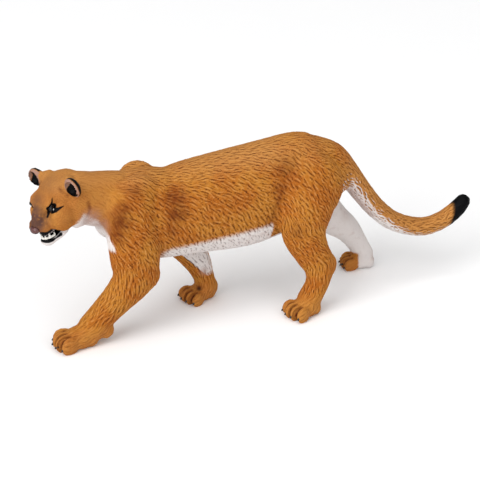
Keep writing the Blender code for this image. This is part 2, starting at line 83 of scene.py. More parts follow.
class Detail(Enum):
    """How finely the skin is cut, as the voxel size in millimetres."""

    TRIAL = 0.36
    FULL = 0.24


def tint(red: int, green: int, blue: int) -> Colour:
    """Turns a paint colour as seen on a screen into linear light.

    Args:
        red: Red from 0 to 255.
        green: Green from 0 to 255.
        blue: Blue from 0 to 255.

    Returns:
        The linear colour with full opacity.
    """
    shares = [value / 255 for value in (red, green, blue)]
    linear = [s / 12.92 if s <= 0.04045 else ((s + 0.055) / 1.055) ** 2.4 for s in shares]
    return (linear[0], linear[1], linear[2], 1.0)


def soft_step(low: float, high: float, value: Array) -> Array:
    """Rises smoothly from 0 at low to 1 at high.

    Args:
        low: The value at which the step starts.
        high: The value at which it is complete; below low for a falling step.
        value: The values to map.

    Returns:
        The share of the step at each value.
    """
    share = np.clip((value - low) / (high - low), 0.0, 1.0)
    return share * share * (3.0 - 2.0 * share)


@dataclass(frozen=True)
class Ramp:
    """A soft edge of paint or carving.

    Attributes:
        start: Where it starts.
        full: Where it is complete; below start for an edge that fades away.
    """

    start: float
    full: float

    def __call__(self, value: Array) -> Array:
        """Gives the share of the edge at each value."""
        return soft_step(self.start, self.full, value)


def unit(vectors: Array) -> Array:
    """Scales each row to length one.

    Args:
        vectors: Rows of x, y and z.

    Returns:
        The same rows at unit length.
    """
    return vectors / np.maximum(np.linalg.norm(vectors, axis=1, keepdims=True), 1e-9)


def read(collection: bpy.types.bpy_prop_collection, name: str, width: int, kind: type) -> Array:
    """Reads one property of every item of a mesh collection.

    Args:
        collection: The mesh's vertices, edges or the like.
        name: The property's name.
        width: How many numbers each item has.
        kind: The number type to read.

    Returns:
        One row for each item.
    """
    values = np.empty(len(collection) * width, kind)
    collection.foreach_get(name, values)
    return values.reshape(-1, width)


def mesh_from(name: str, points: Array, faces: Array) -> bpy.types.Mesh:
    """Makes a mesh from arrays.

    Args:
        name: The mesh's name.
        points: Its points.
        faces: Its faces as rows of point numbers.

    Returns:
        The new mesh.
    """
    mesh = bpy.data.meshes.new(name)
    mesh.from_pydata(points, [], faces)
    mesh.update()
    return mesh


def placed(name: str, data: bpy.types.ID) -> bpy.types.Object:
    """Puts a new object in the scene.

    Args:
        name: Its name.
        data: Its mesh, light or camera.

    Returns:
        The object.
    """
    made = bpy.data.objects.new(name, data)
    bpy.context.scene.collection.objects.link(made)
    return made


def carried_back(points: Array, matrix: Matrix) -> Array:
    """Carries drawing points into the axes that a matrix lays out.

    Args:
        points: Rows of drawing points.
        matrix: The matrix from those axes to the drawing.

    Returns:
        The same points in those axes.
    """
    back = np.array(matrix.inverted())
    return points @ back[:3, :3].T + back[:3, 3]


def folded(points: Array) -> Array:
    """Folds head points over to the animal's left side, since both sides are painted alike.

    Args:
        points: Rows of points in the head's axes.

    Returns:
        The same points, all on the left.
    """
    return points * np.where(points[:, 1:2] < 0.0, (1.0, -1.0, 1.0), (1.0, 1.0, 1.0))


def segment_ways(line: Array, along: Array) -> Array:
    """Gives the direction of a line's segment beside each point.

    Args:
        line: The line's corners, in order.
        along: How far along the line each point's nearest spot is, from 0 to 1.

    Returns:
        A unit direction for each point.
    """
    last = len(line) - 1
    number = np.minimum((along * last).astype(int), last - 1)
    return unit(line[1:] - line[:-1])[number]


def to_segments(points: Array, line: Array) -> tuple[Array, Array]:
    """Measures how far each point is from a line of straight segments.

    Args:
        points: The points to measure.
        line: The line's corners, in order.

    Returns:
        The distance of each point, and how far along the line its nearest spot is, from 0 to 1.
    """
    best = np.full(len(points), 1e9, np.float32)
    along = np.zeros(len(points), np.float32)
    count = len(line) - 1
    for number, (start, end) in enumerate(zip(line[:-1], line[1:])):
        reach = end - start
        share = np.clip((points - start) @ reach / max(float(reach @ reach), 1e-9), 0.0, 1.0)
        gap = np.linalg.norm(points - (start + share[:, None] * reach), axis=1)
        nearer = gap < best
        best[nearer] = gap[nearer]
        along[nearer] = (number + share[nearer]) / count
    return best, along


@dataclass(frozen=True)
class Plan:
    """Where the head's own axes lie in the drawing: x forward, y to the animal's left, z up.

    Attributes:
        centre: The head's middle.
        turn: Its turn about the vertical, in degrees.
        dip: How far the muzzle dips, in degrees.
        roll: Its roll about its own length, in degrees.
        scale: Its size against the head's own numbers.
    """

    centre: Point = (-59.2, -2.7, 46.9)
    turn: float = 208.0
    dip: float = 24.0
    roll: float = 7.0
    scale: float = 0.97

    def matrix(self) -> Matrix:
        """Gives the head's axes.

        Returns:
            The matrix from head to drawing.
        """
        return (
            Matrix.Translation(self.centre)
            @ Matrix.Rotation(math.radians(self.turn), 4, "Z")
            @ Matrix.Rotation(math.radians(self.dip), 4, "Y")
            @ Matrix.Rotation(math.radians(self.roll), 4, "X")
            @ Matrix.Scale(self.scale, 4)
        )

    def place(self, point: Point) -> Array:
        """Carries a point from the head's axes to the drawing.

        Args:
            point: The point in the head's own axes.

        Returns:
            The same point in the drawing.
        """
        return np.array(self.matrix() @ Vector(point))

    def local(self, points: Array) -> Array:
        """Carries rows of points from the drawing to the head's axes."""
        return carried_back(points, self.matrix())


HEAD = Plan()


@dataclass(frozen=True)
class Dab:
    """A soft round touch of paint or of a carving tool.

    Attributes:
        centre: Its middle.
        radius: Where it has faded out.
        strength: Its share at the middle.
    """

    centre: Point
    radius: float
    strength: float = 1.0

    def cover(self, points: Array) -> Array:
        """Gives the share of the touch that each point gets."""
        gap = np.linalg.norm(points - np.array(self.centre), axis=1)
        return self.strength * soft_step(self.radius, 0.0, gap)


@dataclass(frozen=True)
class Stroke:
    """A brush stroke or tool mark along a line, crisp at its edges.

    Attributes:
        line: The stroke's corners.
        width: Half its width at the start.
        end_width: Half its width at the end.
        soft: How far its edge fades.
        strength: Its share along the middle.
    """

    line: tuple[Point, ...]
    width: float
    end_width: float
    soft: float = 0.15
    strength: float = 1.0

    def cover(self, points: Array) -> Array:
        """Finds how much of the stroke each point gets.

        Args:
            points: Rows of points in the stroke's axes.

        Returns:
            The share for each point.
        """
        gap, along = to_segments(points, np.array(self.line))
        half = self.width + (self.end_width - self.width) * along
        return self.strength * soft_step(self.soft, -self.soft, gap - half)


@dataclass(frozen=True)
class Cleft:
    """The groove between two toes, cut straight down as a knife would cut it.

    Attributes:
        front: Its front end, on the floor of the drawing.
        back: Its back end, on the floor too.
        top: The height that it reaches.
        width: Half its width.
        soft: How far its edges fade.
    """

    front: Point
    back: Point
    top: float
    width: float
    soft: float

    TAPER: ClassVar[float] = 0.5
    FADE: ClassVar[Ramp] = Ramp(0.6, -0.4)

    def cover(self, points: Array) -> Array:
        """Finds how far each point lies in the cleft.

        Args:
            points: Rows of drawing points.

        Returns:
            A share for each point.
        """
        gap, along = to_segments(points * (1.0, 1.0, 0.0), np.array((self.front, self.back)))
        half = self.width * (1.0 - self.TAPER * along)
        return soft_step(self.soft, 0.0, gap - half) * self.FADE(points[:, 2] - self.top)


@dataclass(frozen=True)
class Touches:
    """Touches that are given in the same axes.

    Attributes:
        marks: The touches.
        on_head: Whether they are given in the head's axes instead of the drawing's.
        mirrored: Whether the other side of the animal has the same.
    """

    marks: tuple[Dab | Stroke | Cleft, ...]
    on_head: bool = False
    mirrored: bool = True

    def cover(self, points: Array) -> Array:
        """Lays the touches over one another.

        Args:
            points: Rows of drawing points.

        Returns:
            The strongest share that each point gets.
        """
        seen = HEAD.local(points) if self.on_head else points
        total = np.zeros(len(points))
        for side in (1.0, -1.0) if self.mirrored else (1.0,):
            sided = seen * (1.0, side, 1.0)
            for mark in self.marks:
                total = np.maximum(total, mark.cover(sided))
        return total


def covered(points: Array, groups: tuple[Touches, ...]) -> Array:
    """Gives the strongest share that each drawing point gets from any group of touches."""
    return np.maximum.reduce([group.cover(points) for group in groups])


class Surface:
    """A closed mesh with its points and links as arrays, in drawing millimetres."""

    def __init__(self, mesh: bpy.types.Mesh) -> None:
        """Reads a mesh.

        Args:
            mesh: A mesh in drawing millimetres, which the surface then owns.
        """
        self.mesh = mesh
        self.points = read(mesh.vertices, "co", 3, np.float32)
        self.edges = read(mesh.edges, "vertices", 2, np.int32)
        mesh.calc_loop_triangles()
        self.triangles = read(mesh.loop_triangles, "vertices", 3, np.int32)
        self.count = len(self.points)
        ends = self.edges.ravel()
        self.degree = np.maximum(np.bincount(ends, minlength=self.count), 1)
        self.links = self._link_table()

    def _link_table(self) -> Array:
        """Lists the points round each point, across quads too.

        Returns:
            A row for each point, padded with the point itself.
        """
        starts = read(self.mesh.polygons, "loop_start", 1, np.int32)[:, 0]
        totals = read(self.mesh.polygons, "loop_total", 1, np.int32)[:, 0]
        corners = read(self.mesh.loops, "vertex_index", 1, np.int32)[:, 0]
        quads = corners[starts[totals == 4][:, None] + np.arange(4)]
        pairs = np.concatenate((self.edges, quads[:, [0, 2]], quads[:, [1, 3]]))
        pairs = np.concatenate((pairs, pairs[:, ::-1])).astype(np.int64)
        keys = np.unique(pairs[:, 0] * self.count + pairs[:, 1])
        owner, other = keys // self.count, keys % self.count
        rank = np.arange(len(owner)) - np.searchsorted(owner, owner)
        table = np.repeat(np.arange(self.count)[:, None], int(rank.max()) + 1, axis=1)
        table[owner, rank] = other
        return table

    def blurred(self, values: Array, steps: int, rate: float = 0.5) -> Array:
        """Spreads values evenly over the surface.

        Args:
            values: One number or row for each point.
            steps: How many times each point takes from its neighbours.
            rate: The share it takes.

        Returns:
            The spread values.
        """
        start, end = self.edges[:, 0], self.edges[:, 1]
        columns = values.reshape(self.count, -1).astype(np.float64)
        for _ in range(steps):
            for column in range(columns.shape[1]):
                own = columns[:, column]
                total = np.bincount(start, own[end], self.count) + np.bincount(end, own[start], self.count)
                columns[:, column] = own + rate * (total / self.degree - own)
        return columns.reshape(values.shape)

    def relax(self, steps: int, share: Array) -> None:
        """Smooths the form without shrinking it.

        Args:
            steps: How many pairs of smoothing steps.
            share: How much each point takes part, from 0 to 1.
        """
        weight = share[:, None]
        for _ in range(steps):
            for rate in (0.55, -0.56):
                moved = self.blurred(self.points, 1, 1.0) - self.points
                self.points = (self.points + rate * weight * moved).astype(np.float32)

    def normals(self) -> Array:
        """Works out the outward direction at each point.

        Returns:
            A unit direction for each point.
        """
        a, b, c = (self.points[self.triangles[:, k]] for k in range(3))
        face = np.cross(b - a, c - a)
        total = np.zeros((self.count, 3))
        for corner in range(3):
            for axis in range(3):
                total[:, axis] += np.bincount(self.triangles[:, corner], face[:, axis], self.count)
        return unit(total)

    def push(self, depth: Array) -> None:
        """Moves each point outward along its normal.

        Args:
            depth: How far each point moves, in millimetres; inward if negative.
        """
        self.points = (self.points + self.normals() * depth[:, None]).astype(np.float32)

    def biggest(self) -> Array:
        """Finds the largest closed surface.

        Returns:
            True for each of its points.
        """
        label = np.zeros(self.count, np.int32)
        number = 0
        while (label == 0).any():
            number += 1
            front = np.array([int(np.argmin(label))])
            label[front] = number
            while len(front):
                front = np.unique(self.links[front])
                front = front[label[front] == 0]
                label[front] = number
        return label == 1 + int(np.argmax(np.bincount(label)[1:]))

    def walk(self, values: Array, lie: Array, reach: Array, step: float) -> Array:
        """Averages values along the lie of the coat, up and down it.

        Args:
            values: One number for each point.
            lie: The unit direction of the coat at each point.
            reach: How far each point looks each way, in millimetres.
            step: The length of one step, in millimetres.

        Returns:
            The average seen by each point.
        """
        points = self.points
        total = values.astype(np.float64).copy()
        weight = np.ones(self.count)
        for way in (1.0, -1.0):
            here = np.arange(self.count)
            spot = points.copy()
            for number in range(1, int(reach.max() / step) + 1):
                spot += (way * step) * lie[here]
                around = self.links[here]
                gap = ((points[around] - spot[:, None, :]) ** 2).sum(axis=2)
                here = around[np.arange(self.count), gap.argmin(axis=1)]
                spot = points[here] * 0.3 + spot * 0.7
                share = 0.5 + 0.5 * np.cos(np.pi * np.clip(number * step / reach, 0.0, 1.0))
                total += share * values[here]
                weight += share
        return total / weight

    def store(self) -> bpy.types.Mesh:
        """Writes the points back to the mesh, and gives the mesh.

        Returns:
            The mesh.
        """
        self.mesh.vertices.foreach_set("co", self.points.astype(np.float32).ravel())
        self.mesh.update()
        return self.mesh

    def refined(self, marked: Array) -> "Surface":
        """Cuts the faces between marked points in four.

        Args:
            marked: True for each point of the part to refine.

        Returns:
            The new surface.
        """
        build = bmesh.new()
        build.from_mesh(self.store())
        build.verts.ensure_lookup_table()
        chosen = [e for e in build.edges if marked[e.verts[0].index] and marked[e.verts[1].index]]
        bmesh.ops.subdivide_edges(build, edges=chosen, cuts=1, use_grid_fill=True)
        build.to_mesh(self.mesh)
        build.free()
        return Surface(self.mesh)


@dataclass(frozen=True)
class Fusion:
    """Fuses copies of CAD nodes into one closed surface.

    Attributes:
        nodes: The nodes to fuse.
        voxel: The size of the new faces, in millimetres.
        grow: How far each copy swells first, so that the thin partings close.
    """

    nodes: tuple[str, ...]
    voxel: float
    grow: float = 0.2

    def _swollen(self, name: str) -> tuple[Array, Array]:
        """Copies a node as welded arrays in drawing millimetres, swollen evenly.

        Args:
            name: The node's name.

        Returns:
            Its points and its triangles.
        """
        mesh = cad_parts[name].data
        raw = read(mesh.vertices, "co", 3, np.float64) / MM - DRAWING_ORIGIN
        mesh.calc_loop_triangles()
        corners = read(mesh.loop_triangles, "vertices", 3, np.int64)
        keys = np.round(raw * 1e3).astype(np.int64)
        _, first, same = np.unique(keys, axis=0, return_index=True, return_inverse=True)
        points, corners = raw[first], same.reshape(-1)[corners]
        a, b, c = (points[corners[:, k]] for k in range(3))
        cross = np.cross(b - a, c - a)
        area = np.linalg.norm(cross, axis=1)
        good = area > 1e-9
        corners, cross, area = corners[good], cross[good], area[good]
        normal = cross / area[:, None]
        square = np.zeros((len(points), 3, 3))
        side = np.zeros((len(points), 3))
        outer = area[:, None, None] * normal[:, :, None] * normal[:, None, :]
        for corner in range(3):
            np.add.at(square, corners[:, corner], outer)
            np.add.at(side, corners[:, corner], area[:, None] * normal * self.grow)
        ease = 0.03 * np.trace(square, axis1=1, axis2=2)[:, None, None] * np.eye(3) + 1e-9 * np.eye(3)
        shift = np.linalg.solve(square + ease, side[:, :, None])[:, :, 0]
        length = np.linalg.norm(shift, axis=1, keepdims=True)
        shift *= np.minimum(1.0, 2.0 * self.grow / np.maximum(length, 1e-9))
        return points + shift, corners

    def surface(self, name: str) -> Surface:
        """Builds the fused surface.

        Args:
            name: The name of its mesh.

        Returns:
            The outer surface of the fused copies, at their own size again.
        """
        points, faces, offset = [], [], 0
        for node in self.nodes:
            own, corners = self._swollen(node)
            points.append(own)
            faces.append(corners + offset)
            offset += len(own)
        rough = placed("rough", mesh_from("rough", np.concatenate(points), np.concatenate(faces)))
        remesh = rough.modifiers.new("fuse", "REMESH")
        remesh.mode = "VOXEL"
        remesh.voxel_size = self.voxel
        graph = bpy.context.evaluated_depsgraph_get()
        whole = bpy.data.meshes.new_from_object(rough.evaluated_get(graph))
        bpy.data.meshes.remove(rough.data)
        fused = Surface(whole)
        kept = fused.biggest()
        if not kept.all():
            quads = read(whole.loops, "vertex_index", 1, np.int32).reshape(-1, 4)
            number = np.cumsum(kept) - 1
            quads = number[quads[kept[quads[:, 0]]]]
            bpy.data.meshes.remove(whole)
            whole = mesh_from(name, fused.points[kept], quads)
            fused = Surface(whole)
        fused.relax(2, np.ones(fused.count))
        fused.push(np.full(fused.count, -self.grow))
        return fused


class Graph:
    """A material's node tree, written one node at a time."""

    def __init__(self, name: str) -> None:
        """Starts a material with a bare Principled shader.

        Args:
            name: The material's name.
        """
        self.material = bpy.data.materials.new(name)
        self.material.use_nodes = True
        self.tree = self.material.node_tree
        self.shader = self.tree.nodes["Principled BSDF"]

    def node(self, kind: str, **settings: object) -> bpy.types.Node:
        """Adds a node.

        Args:
            kind: Blender's name for the node type.
            **settings: Its properties.

        Returns:
            The new node.
        """
        made = self.tree.nodes.new(kind)
        for name, value in settings.items():
            setattr(made, name, value)
        return made

    def feed(self, socket: bpy.types.NodeSocket, value: object) -> None:
        """Links a socket to another, or sets its value.

        Args:
            socket: The input.
            value: An output to link, or a plain value.
        """
        if isinstance(value, bpy.types.NodeSocket):
            self.tree.links.new(value, socket)
        else:
            socket.default_value = value

    def shade(self, name: str, value: object) -> None:
        """Links or sets the shader's own socket of that name."""
        self.feed(self.shader.inputs[name], value)

    def mask(self, name: str) -> bpy.types.NodeSocket:
        """Gives the value of one of the mesh's painted masks."""
        return self.node("ShaderNodeAttribute", attribute_name=name).outputs["Fac"]

    def place(self) -> bpy.types.NodeSocket:
        """Adds the place on the object.

        Returns:
            Its vector, in millimetres.
        """
        scale = self.node("ShaderNodeVectorMath", operation="SCALE")
        self.feed(scale.inputs[0], self.node("ShaderNodeTexCoord").outputs["Object"])
        scale.inputs["Scale"].default_value = 1.0 / MM
        return scale.outputs[0]

    def noise(self, grain: float, detail: float = 2.0, shift: float = 0.0) -> bpy.types.NodeSocket:
        """Adds a cloudy pattern.

        Args:
            grain: The size of its clouds, in millimetres.
            detail: How many finer layers it has.
            shift: An offset that tells one pattern from another.

        Returns:
            Its value from 0 to 1.
        """
        made = self.node("ShaderNodeTexNoise", noise_dimensions="4D")
        self.feed(made.inputs["Vector"], self.place())
        made.inputs["W"].default_value = shift
        made.inputs["Scale"].default_value = 1.0 / grain
        made.inputs["Detail"].default_value = detail
        return made.outputs["Fac"]

    def maths(self, operation: str, *values: object) -> bpy.types.NodeSocket:
        """Adds a sum on numbers.

        Args:
            operation: Blender's name for it.
            *values: Its inputs.

        Returns:
            The result.
        """
        made = self.node("ShaderNodeMath", operation=operation)
        for number, value in enumerate(values):
            self.feed(made.inputs[number], value)
        return made.outputs[0]

    def times(self, value: object, share: object) -> bpy.types.NodeSocket:
        """Multiplies two values, and gives the result."""
        return self.maths("MULTIPLY", value, share)

    def step(self, value: object, low: float, high: float, top: float = 1.0) -> bpy.types.NodeSocket:
        """Adds a smooth step.

        Args:
            value: The value to map.
            low: Where the step starts.
            high: Where it ends.
            top: The result past its end.

        Returns:
            The result, from 0 to top.
        """
        made = self.node("ShaderNodeMapRange", interpolation_type="SMOOTHSTEP")
        self.feed(made.inputs["Value"], value)
        made.inputs["From Min"].default_value = low
        made.inputs["From Max"].default_value = high
        made.inputs["To Max"].default_value = top
        return made.outputs["Result"]

    def blend(self, share: object, low: object, high: object) -> bpy.types.NodeSocket:
        """Mixes two colours.

        Args:
            share: How much of the second, from 0 to 1.
            low: The first colour.
            high: The second colour.

        Returns:
            The mixed colour.
        """
        made = self.node("ShaderNodeMix", data_type="RGBA")
        self.feed(made.inputs["Factor"], share)
        self.feed(made.inputs[MIX_FIRST], low)
        self.feed(made.inputs[MIX_SECOND], high)
        return made.outputs[MIX_RESULT]

    def bump(self, height: bpy.types.NodeSocket, distance: float, strength: float = 1.0) -> None:
        """Gives the shader a fine relief.

        Args:
            height: The relief's height, from 0 to 1.
            distance: How far 1 stands out, in millimetres.
            strength: The share of it that shows.
        """
        made = self.node("ShaderNodeBump")
        self.feed(made.inputs["Height"], height)
        made.inputs["Distance"].default_value = distance * MM
        made.inputs["Strength"].default_value = strength
        self.feed(self.shader.inputs["Normal"], made.outputs["Normal"])


@dataclass(frozen=True)
class CoatPaint:
    """The sprayed and washed paint of the moulded coat, with painted light and shade among its colours.

    Attributes:
        tawny: The main colour.
        ochre: The colour of the clouds in it.
        top_lit_fawn: The lighter tan along the back and crown, painted light from above.
        highlit_crest: The lighter tan on the hair tops, a painted highlight.
        umber: The thinned dark paint run into the grooves.
        deep: The dark brown of the hollows, partly airbrushed paint and partly painted shade.
        white: The underside.
        stone: The grey paint run into the underside's grooves.
        mauve: The dark muzzle and bridge.
        rose: The warm spray over white and the ears.
        ink: The black of eyes, lips, ears and tail tip.
        crest_share: How strongly the hair tops show.
        groove_share: How strongly the dark paint in the grooves shows.
        speck_share: How strongly stray specks of the dark groove paint show.
        stone_share: How strongly the grey paint in the underside's grooves shows.
        blush_share: How strongly the rose clouds on white show.
        roughness: How dull the paint is.
        ink_gloss: How much less dull the black is.
        sheen_level: The specular level.
    """

    tawny: Colour = tint(160, 90, 26)
    ochre: Colour = tint(174, 112, 40)
    top_lit_fawn: Colour = tint(180, 124, 66)
    highlit_crest: Colour = tint(206, 150, 88)
    umber: Colour = tint(78, 34, 10)
    deep: Colour = tint(88, 28, 6)
    white: Colour = tint(214, 207, 204)
    stone: Colour = tint(132, 120, 118)
    mauve: Colour = tint(88, 60, 50)
    rose: Colour = tint(158, 122, 108)
    ink: Colour = tint(4, 4, 6)
    crest_share: float = 0.5
    groove_share: float = 0.88
    speck_share: float = 0.3
    stone_share: float = 0.75
    blush_share: float = 0.22
    roughness: float = 0.54
    ink_gloss: float = 0.2
    sheen_level: float = 0.07

    def _coat(self, g: Graph, grain: bpy.types.NodeSocket) -> bpy.types.NodeSocket:
        """Paints the tawny coat.

        Args:
            g: The material's graph.
            grain: The fine pattern of its specks.

        Returns:
            Its colour.
        """
        coat = g.blend(g.step(g.noise(7.0, 3.0), 0.35, 0.65), self.tawny, self.ochre)
        # Painted light: the upper parts are painted a lighter tan, as if lit from above.
        coat = g.blend(g.mask("top_lit_fawn"), coat, self.top_lit_fawn)
        # Painted highlight: the raised hair tops are painted a lighter tan.
        coat = g.blend(g.times(g.mask("highlit_crest"), self.crest_share), coat, self.highlit_crest)
        coat = g.blend(g.times(g.step(grain, 0.55, 0.8), self.speck_share), coat, self.umber)
        # Mottled dark brown in the hollows: partly airbrushed paint, partly painted shade.
        mottle = g.step(g.noise(1.3, 2.0, 7.0), 0.05, 0.6)
        coat = g.blend(g.times(g.mask("shade_and_wash"), mottle), coat, self.deep)
        return g.blend(g.times(g.mask("groove"), self.groove_share), coat, self.umber)

    def _underside(self, g: Graph) -> bpy.types.NodeSocket:
        """Paints the white underside.

        Args:
            g: The material's graph.

        Returns:
            Its colour.
        """
        pale = g.blend(g.step(g.mask("groove"), 0.1, 1.0, self.stone_share), self.white, self.stone)
        blush = g.step(g.noise(2.2, 2.0, 11.0), 0.5, 0.75)
        return g.blend(g.times(blush, self.blush_share), pale, self.rose)

    def material(self) -> bpy.types.Material:
        """Builds the material.

        Returns:
            The new material.
        """
        g = Graph("tawny_vinyl_paint")
        grain = g.noise(0.5, 2.0, 3.0)
        ragged = g.maths("MULTIPLY_ADD", g.noise(0.5, 2.0, 5.0), 0.5, -0.25)
        edge = g.maths("MULTIPLY_ADD", g.mask("groove"), -0.2, g.maths("ADD", g.mask("pale"), ragged))
        colour = g.blend(g.step(edge, 0.1, 0.9), self._coat(g, grain), self._underside(g))
        colour = g.blend(g.times(g.mask("rose"), g.step(grain, 0.2, 0.5)), colour, self.rose)
        smudge = g.step(g.noise(0.7, 3.0, 8.0), 0.1, 0.5)
        colour = g.blend(g.times(g.mask("mauve"), smudge), colour, self.mauve)
        g.shade("Base Color", g.blend(g.mask("ink"), colour, self.ink))
        rough = g.maths("MULTIPLY_ADD", g.noise(1.2, 2.0, 2.0), 0.16, self.roughness)
        g.shade("Roughness", g.maths("MULTIPLY_ADD", g.mask("ink"), -self.ink_gloss, rough))
        g.shade("Specular IOR Level", self.sheen_level)
        g.bump(g.maths("ADD", g.times(grain, 0.5), g.noise(0.2, 1.0, 9.0)), 0.03)
        return g.material


@dataclass(frozen=True)
class GlossPaint:
    """A hand-dotted glossy paint with a slight unevenness, for eyes, claws and the nose.

    Attributes:
        name: The material's name.
        base: Its main colour.
        second: The colour that shows where it is thin.
        roughness: How dull it is.
        varnish: How much clear varnish lies on it.
    """

    name: str
    base: Colour
    second: Colour
    roughness: float = 0.3
    varnish: float = 0.0

    def material(self) -> bpy.types.Material:
        """Builds the material.

        Returns:
            The new material.
        """
        g = Graph(self.name)
        thin = g.step(g.noise(0.7, 3.0), 0.45, 0.8)
        g.shade("Base Color", g.blend(thin, self.base, self.second))
        g.shade("Roughness", g.maths("MULTIPLY_ADD", g.noise(0.4, 2.0, 4.0), 0.2, self.roughness - 0.1))
        g.shade("Coat Weight", self.varnish)
        g.shade("Coat Roughness", 0.12)
        g.bump(g.noise(0.25, 2.0, 6.0), 0.02)
        return g.material


@dataclass(frozen=True)
class EyePaint:
    """Black gloss with one white spot, a painted glint fixed on the ball.

    Attributes:
        painted_glint: The middle of the painted glint in the drawing.
        size: The glint's radius in millimetres.
        edge: How far its edge fades.
        black: The ball's main colour.
        brown: The colour of the thin places on it.
        white: The painted glint's colour.
    """

    painted_glint: Point
    size: float = 0.3
    edge: float = 0.06
    black: Colour = tint(9, 8, 10)
    brown: Colour = tint(40, 24, 14)
    white: Colour = tint(245, 243, 240)

    def material(self, name: str) -> bpy.types.Material:
        """Builds the material.

        Args:
            name: The material's name.

        Returns:
            The new material.
        """
        g = Graph(name)
        gap = g.node("ShaderNodeVectorMath", operation="DISTANCE")
        g.feed(gap.inputs[0], g.place())
        gap.inputs[1].default_value = tuple(np.array(self.painted_glint) + DRAWING_ORIGIN)
        # Painted highlight: a white glint on the black ball.
        painted_glint = g.step(gap.outputs["Value"], self.size + self.edge, self.size - self.edge)
        ball = g.blend(g.step(g.noise(0.6, 2.0), 0.5, 0.9), self.black, self.brown)
        g.shade("Base Color", g.blend(painted_glint, ball, self.white))
        g.shade("Roughness", g.maths("MULTIPLY_ADD", g.noise(0.5, 1.0, 8.0), 0.1, 0.12))
        g.shade("Specular IOR Level", 0.2)
        g.shade("Coat Weight", 0.1)
        g.shade("Coat Roughness", 0.05)
        g.bump(g.noise(0.3, 1.0, 1.0), 0.01)
        return g.material


@dataclass(frozen=True)
class Guide:
    """A line down which the coat is combed.

    Attributes:
        line: The line's corners, in the drawing.
        start: The radius of the limb at the line's start.
        end: The radius at its end.
        fall: How much the coat on it also falls toward the floor.
        lean: How much the coat at its start also sweeps toward the tail; the sweep fades along the line.
    """

    line: tuple[Point, ...]
    start: float
    end: float
    fall: float = 0.0
    lean: float = 0.0


class CoatFlow:
    """The lie of the coat: back along the trunk, down the legs and out along the tail."""

    TRUNK_TOP = 52.0
    TRUNK_DEPTH = 26.0
    TOP_ANGLE = 26.0
    BELLY_ANGLE = 46.0
    GUIDES: tuple[Guide, ...] = (
        Guide(((-69.0, -8.0, 42.4), (-62.0, -4.0, 46.0), (-55.0, -1.0, 50.0)), 6.5, 8.5),
        Guide(((-55.0, -2.6, 49.8), (-46.0, -1.4, 46.8), (-36.0, 0.0, 42.8)), 8.0, 12.0, 0.55),
        Guide(((31.0, 0.0, 49.0), (39.9, 0.0, 41.9), (50.0, 0.0, 28.2), (62.8, 0.0, 19.2)), 5.0, 3.4),
        Guide(((62.8, 0.0, 19.2), (75.4, 0.0, 19.4), (82.8, 0.0, 25.2)), 3.3, 2.8),
        Guide(
            ((-37.0, -8.0, 42.0), (-36.6, -9.3, 26.0), (-42.0, -9.2, 15.4), (-51.2, -8.6, 5.6)),
            8.5,
            4.8,
            lean=0.9,
        ),
        Guide(((-51.2, -8.6, 5.6), (-64.0, -10.0, 1.5)), 5.0, 4.5),
        Guide(
            ((-26.0, 8.4, 37.0), (-13.0, 9.9, 20.0), (-9.2, 9.8, 13.2), (-6.8, 8.8, 4.4)),
            7.5,
            4.2,
            lean=0.4,
        ),
        Guide(((-6.8, 8.8, 4.4), (-15.0, 7.0, 1.0)), 4.0, 4.0),
        Guide(
            ((22.6, -9.0, 43.0), (20.4, -10.4, 29.2), (25.2, -12.2, 16.4), (21.5, -13.0, 5.0)),
            10.0,
            4.3,
            lean=0.9,
        ),
        Guide(((21.5, -13.0, 5.0), (13.0, -15.0, 1.0)), 4.5, 4.2),
        Guide(
            ((28.8, 8.6, 40.0), (33.0, 10.2, 27.4), (45.2, 12.2, 15.6), (51.9, 12.9, 4.8)),
            9.0,
            4.0,
            lean=0.5,
        ),
        Guide(((51.9, 12.9, 4.8), (43.0, 15.0, 1.0)), 4.0, 4.0),
    )
    TRUNK = Guide(((-36.0, 0.0, 42.0), (0.0, 0.0, 39.5), (30.0, 0.0, 44.0)), 12.5, 12.0)
    SHARPNESS = 7.0  # how sharply one guide hands over to the next
    WANDER = 0.16  # how far the hairs turn off their line, in radians
    WANDER_STEPS = 30
    EVEN_ROUNDS, EVEN_STEPS = 3, 4

    def _trunk_lie(self, points: Array) -> Array:
        """Gives the lie on the trunk, which falls more steeply toward the belly.

        Args:
            points: Rows of drawing points.

        Returns:
            A direction for each point.
        """
        drop = np.clip((self.TRUNK_TOP - points[:, 2]) / self.TRUNK_DEPTH, 0.0, 1.0)
        angle = np.radians(self.TOP_ANGLE + self.BELLY_ANGLE * drop)
        return np.stack((np.cos(angle), np.zeros(len(points)), -np.sin(angle)), axis=1)

    def _laid_flat(self, ways: Array, normal: Array) -> Array:
        """Turns directions into the surface, at unit length."""
        return unit(ways - (ways * normal).sum(axis=1, keepdims=True) * normal)

    def lie(self, surface: Surface) -> Array:
        """Works out the lie of the coat at each point.

        Args:
            surface: The skin.

        Returns:
            A unit direction in the surface for each point.
        """
        points = surface.points.astype(np.float64)
        total = np.zeros((surface.count, 3))
        for guide in (self.TRUNK, *self.GUIDES):
            corners = np.array(guide.line)
            gap, along = to_segments(points, corners)
            radius = guide.start + (guide.end - guide.start) * along
            weight = 1.0 / ((gap / radius) ** self.SHARPNESS + 0.02)
            if guide is self.TRUNK:
                way = self._trunk_lie(points)
            else:
                way = segment_ways(corners, along) - (0.0, 0.0, guide.fall)
                way[:, 0] += guide.lean * (1.0 - along)
            total += weight[:, None] * way
        normal = surface.normals()
        total = self._laid_flat(total, normal)
        for _ in range(self.EVEN_ROUNDS):
            total = self._laid_flat(surface.blurred(total, self.EVEN_STEPS), normal)
        turn = surface.blurred(np.random.default_rng(SEED + 1).normal(size=surface.count), self.WANDER_STEPS)
        turn = (turn * (self.WANDER / turn.std()))[:, None]
        return (total * np.cos(turn) + np.cross(normal, total) * np.sin(turn)).astype(np.float32)


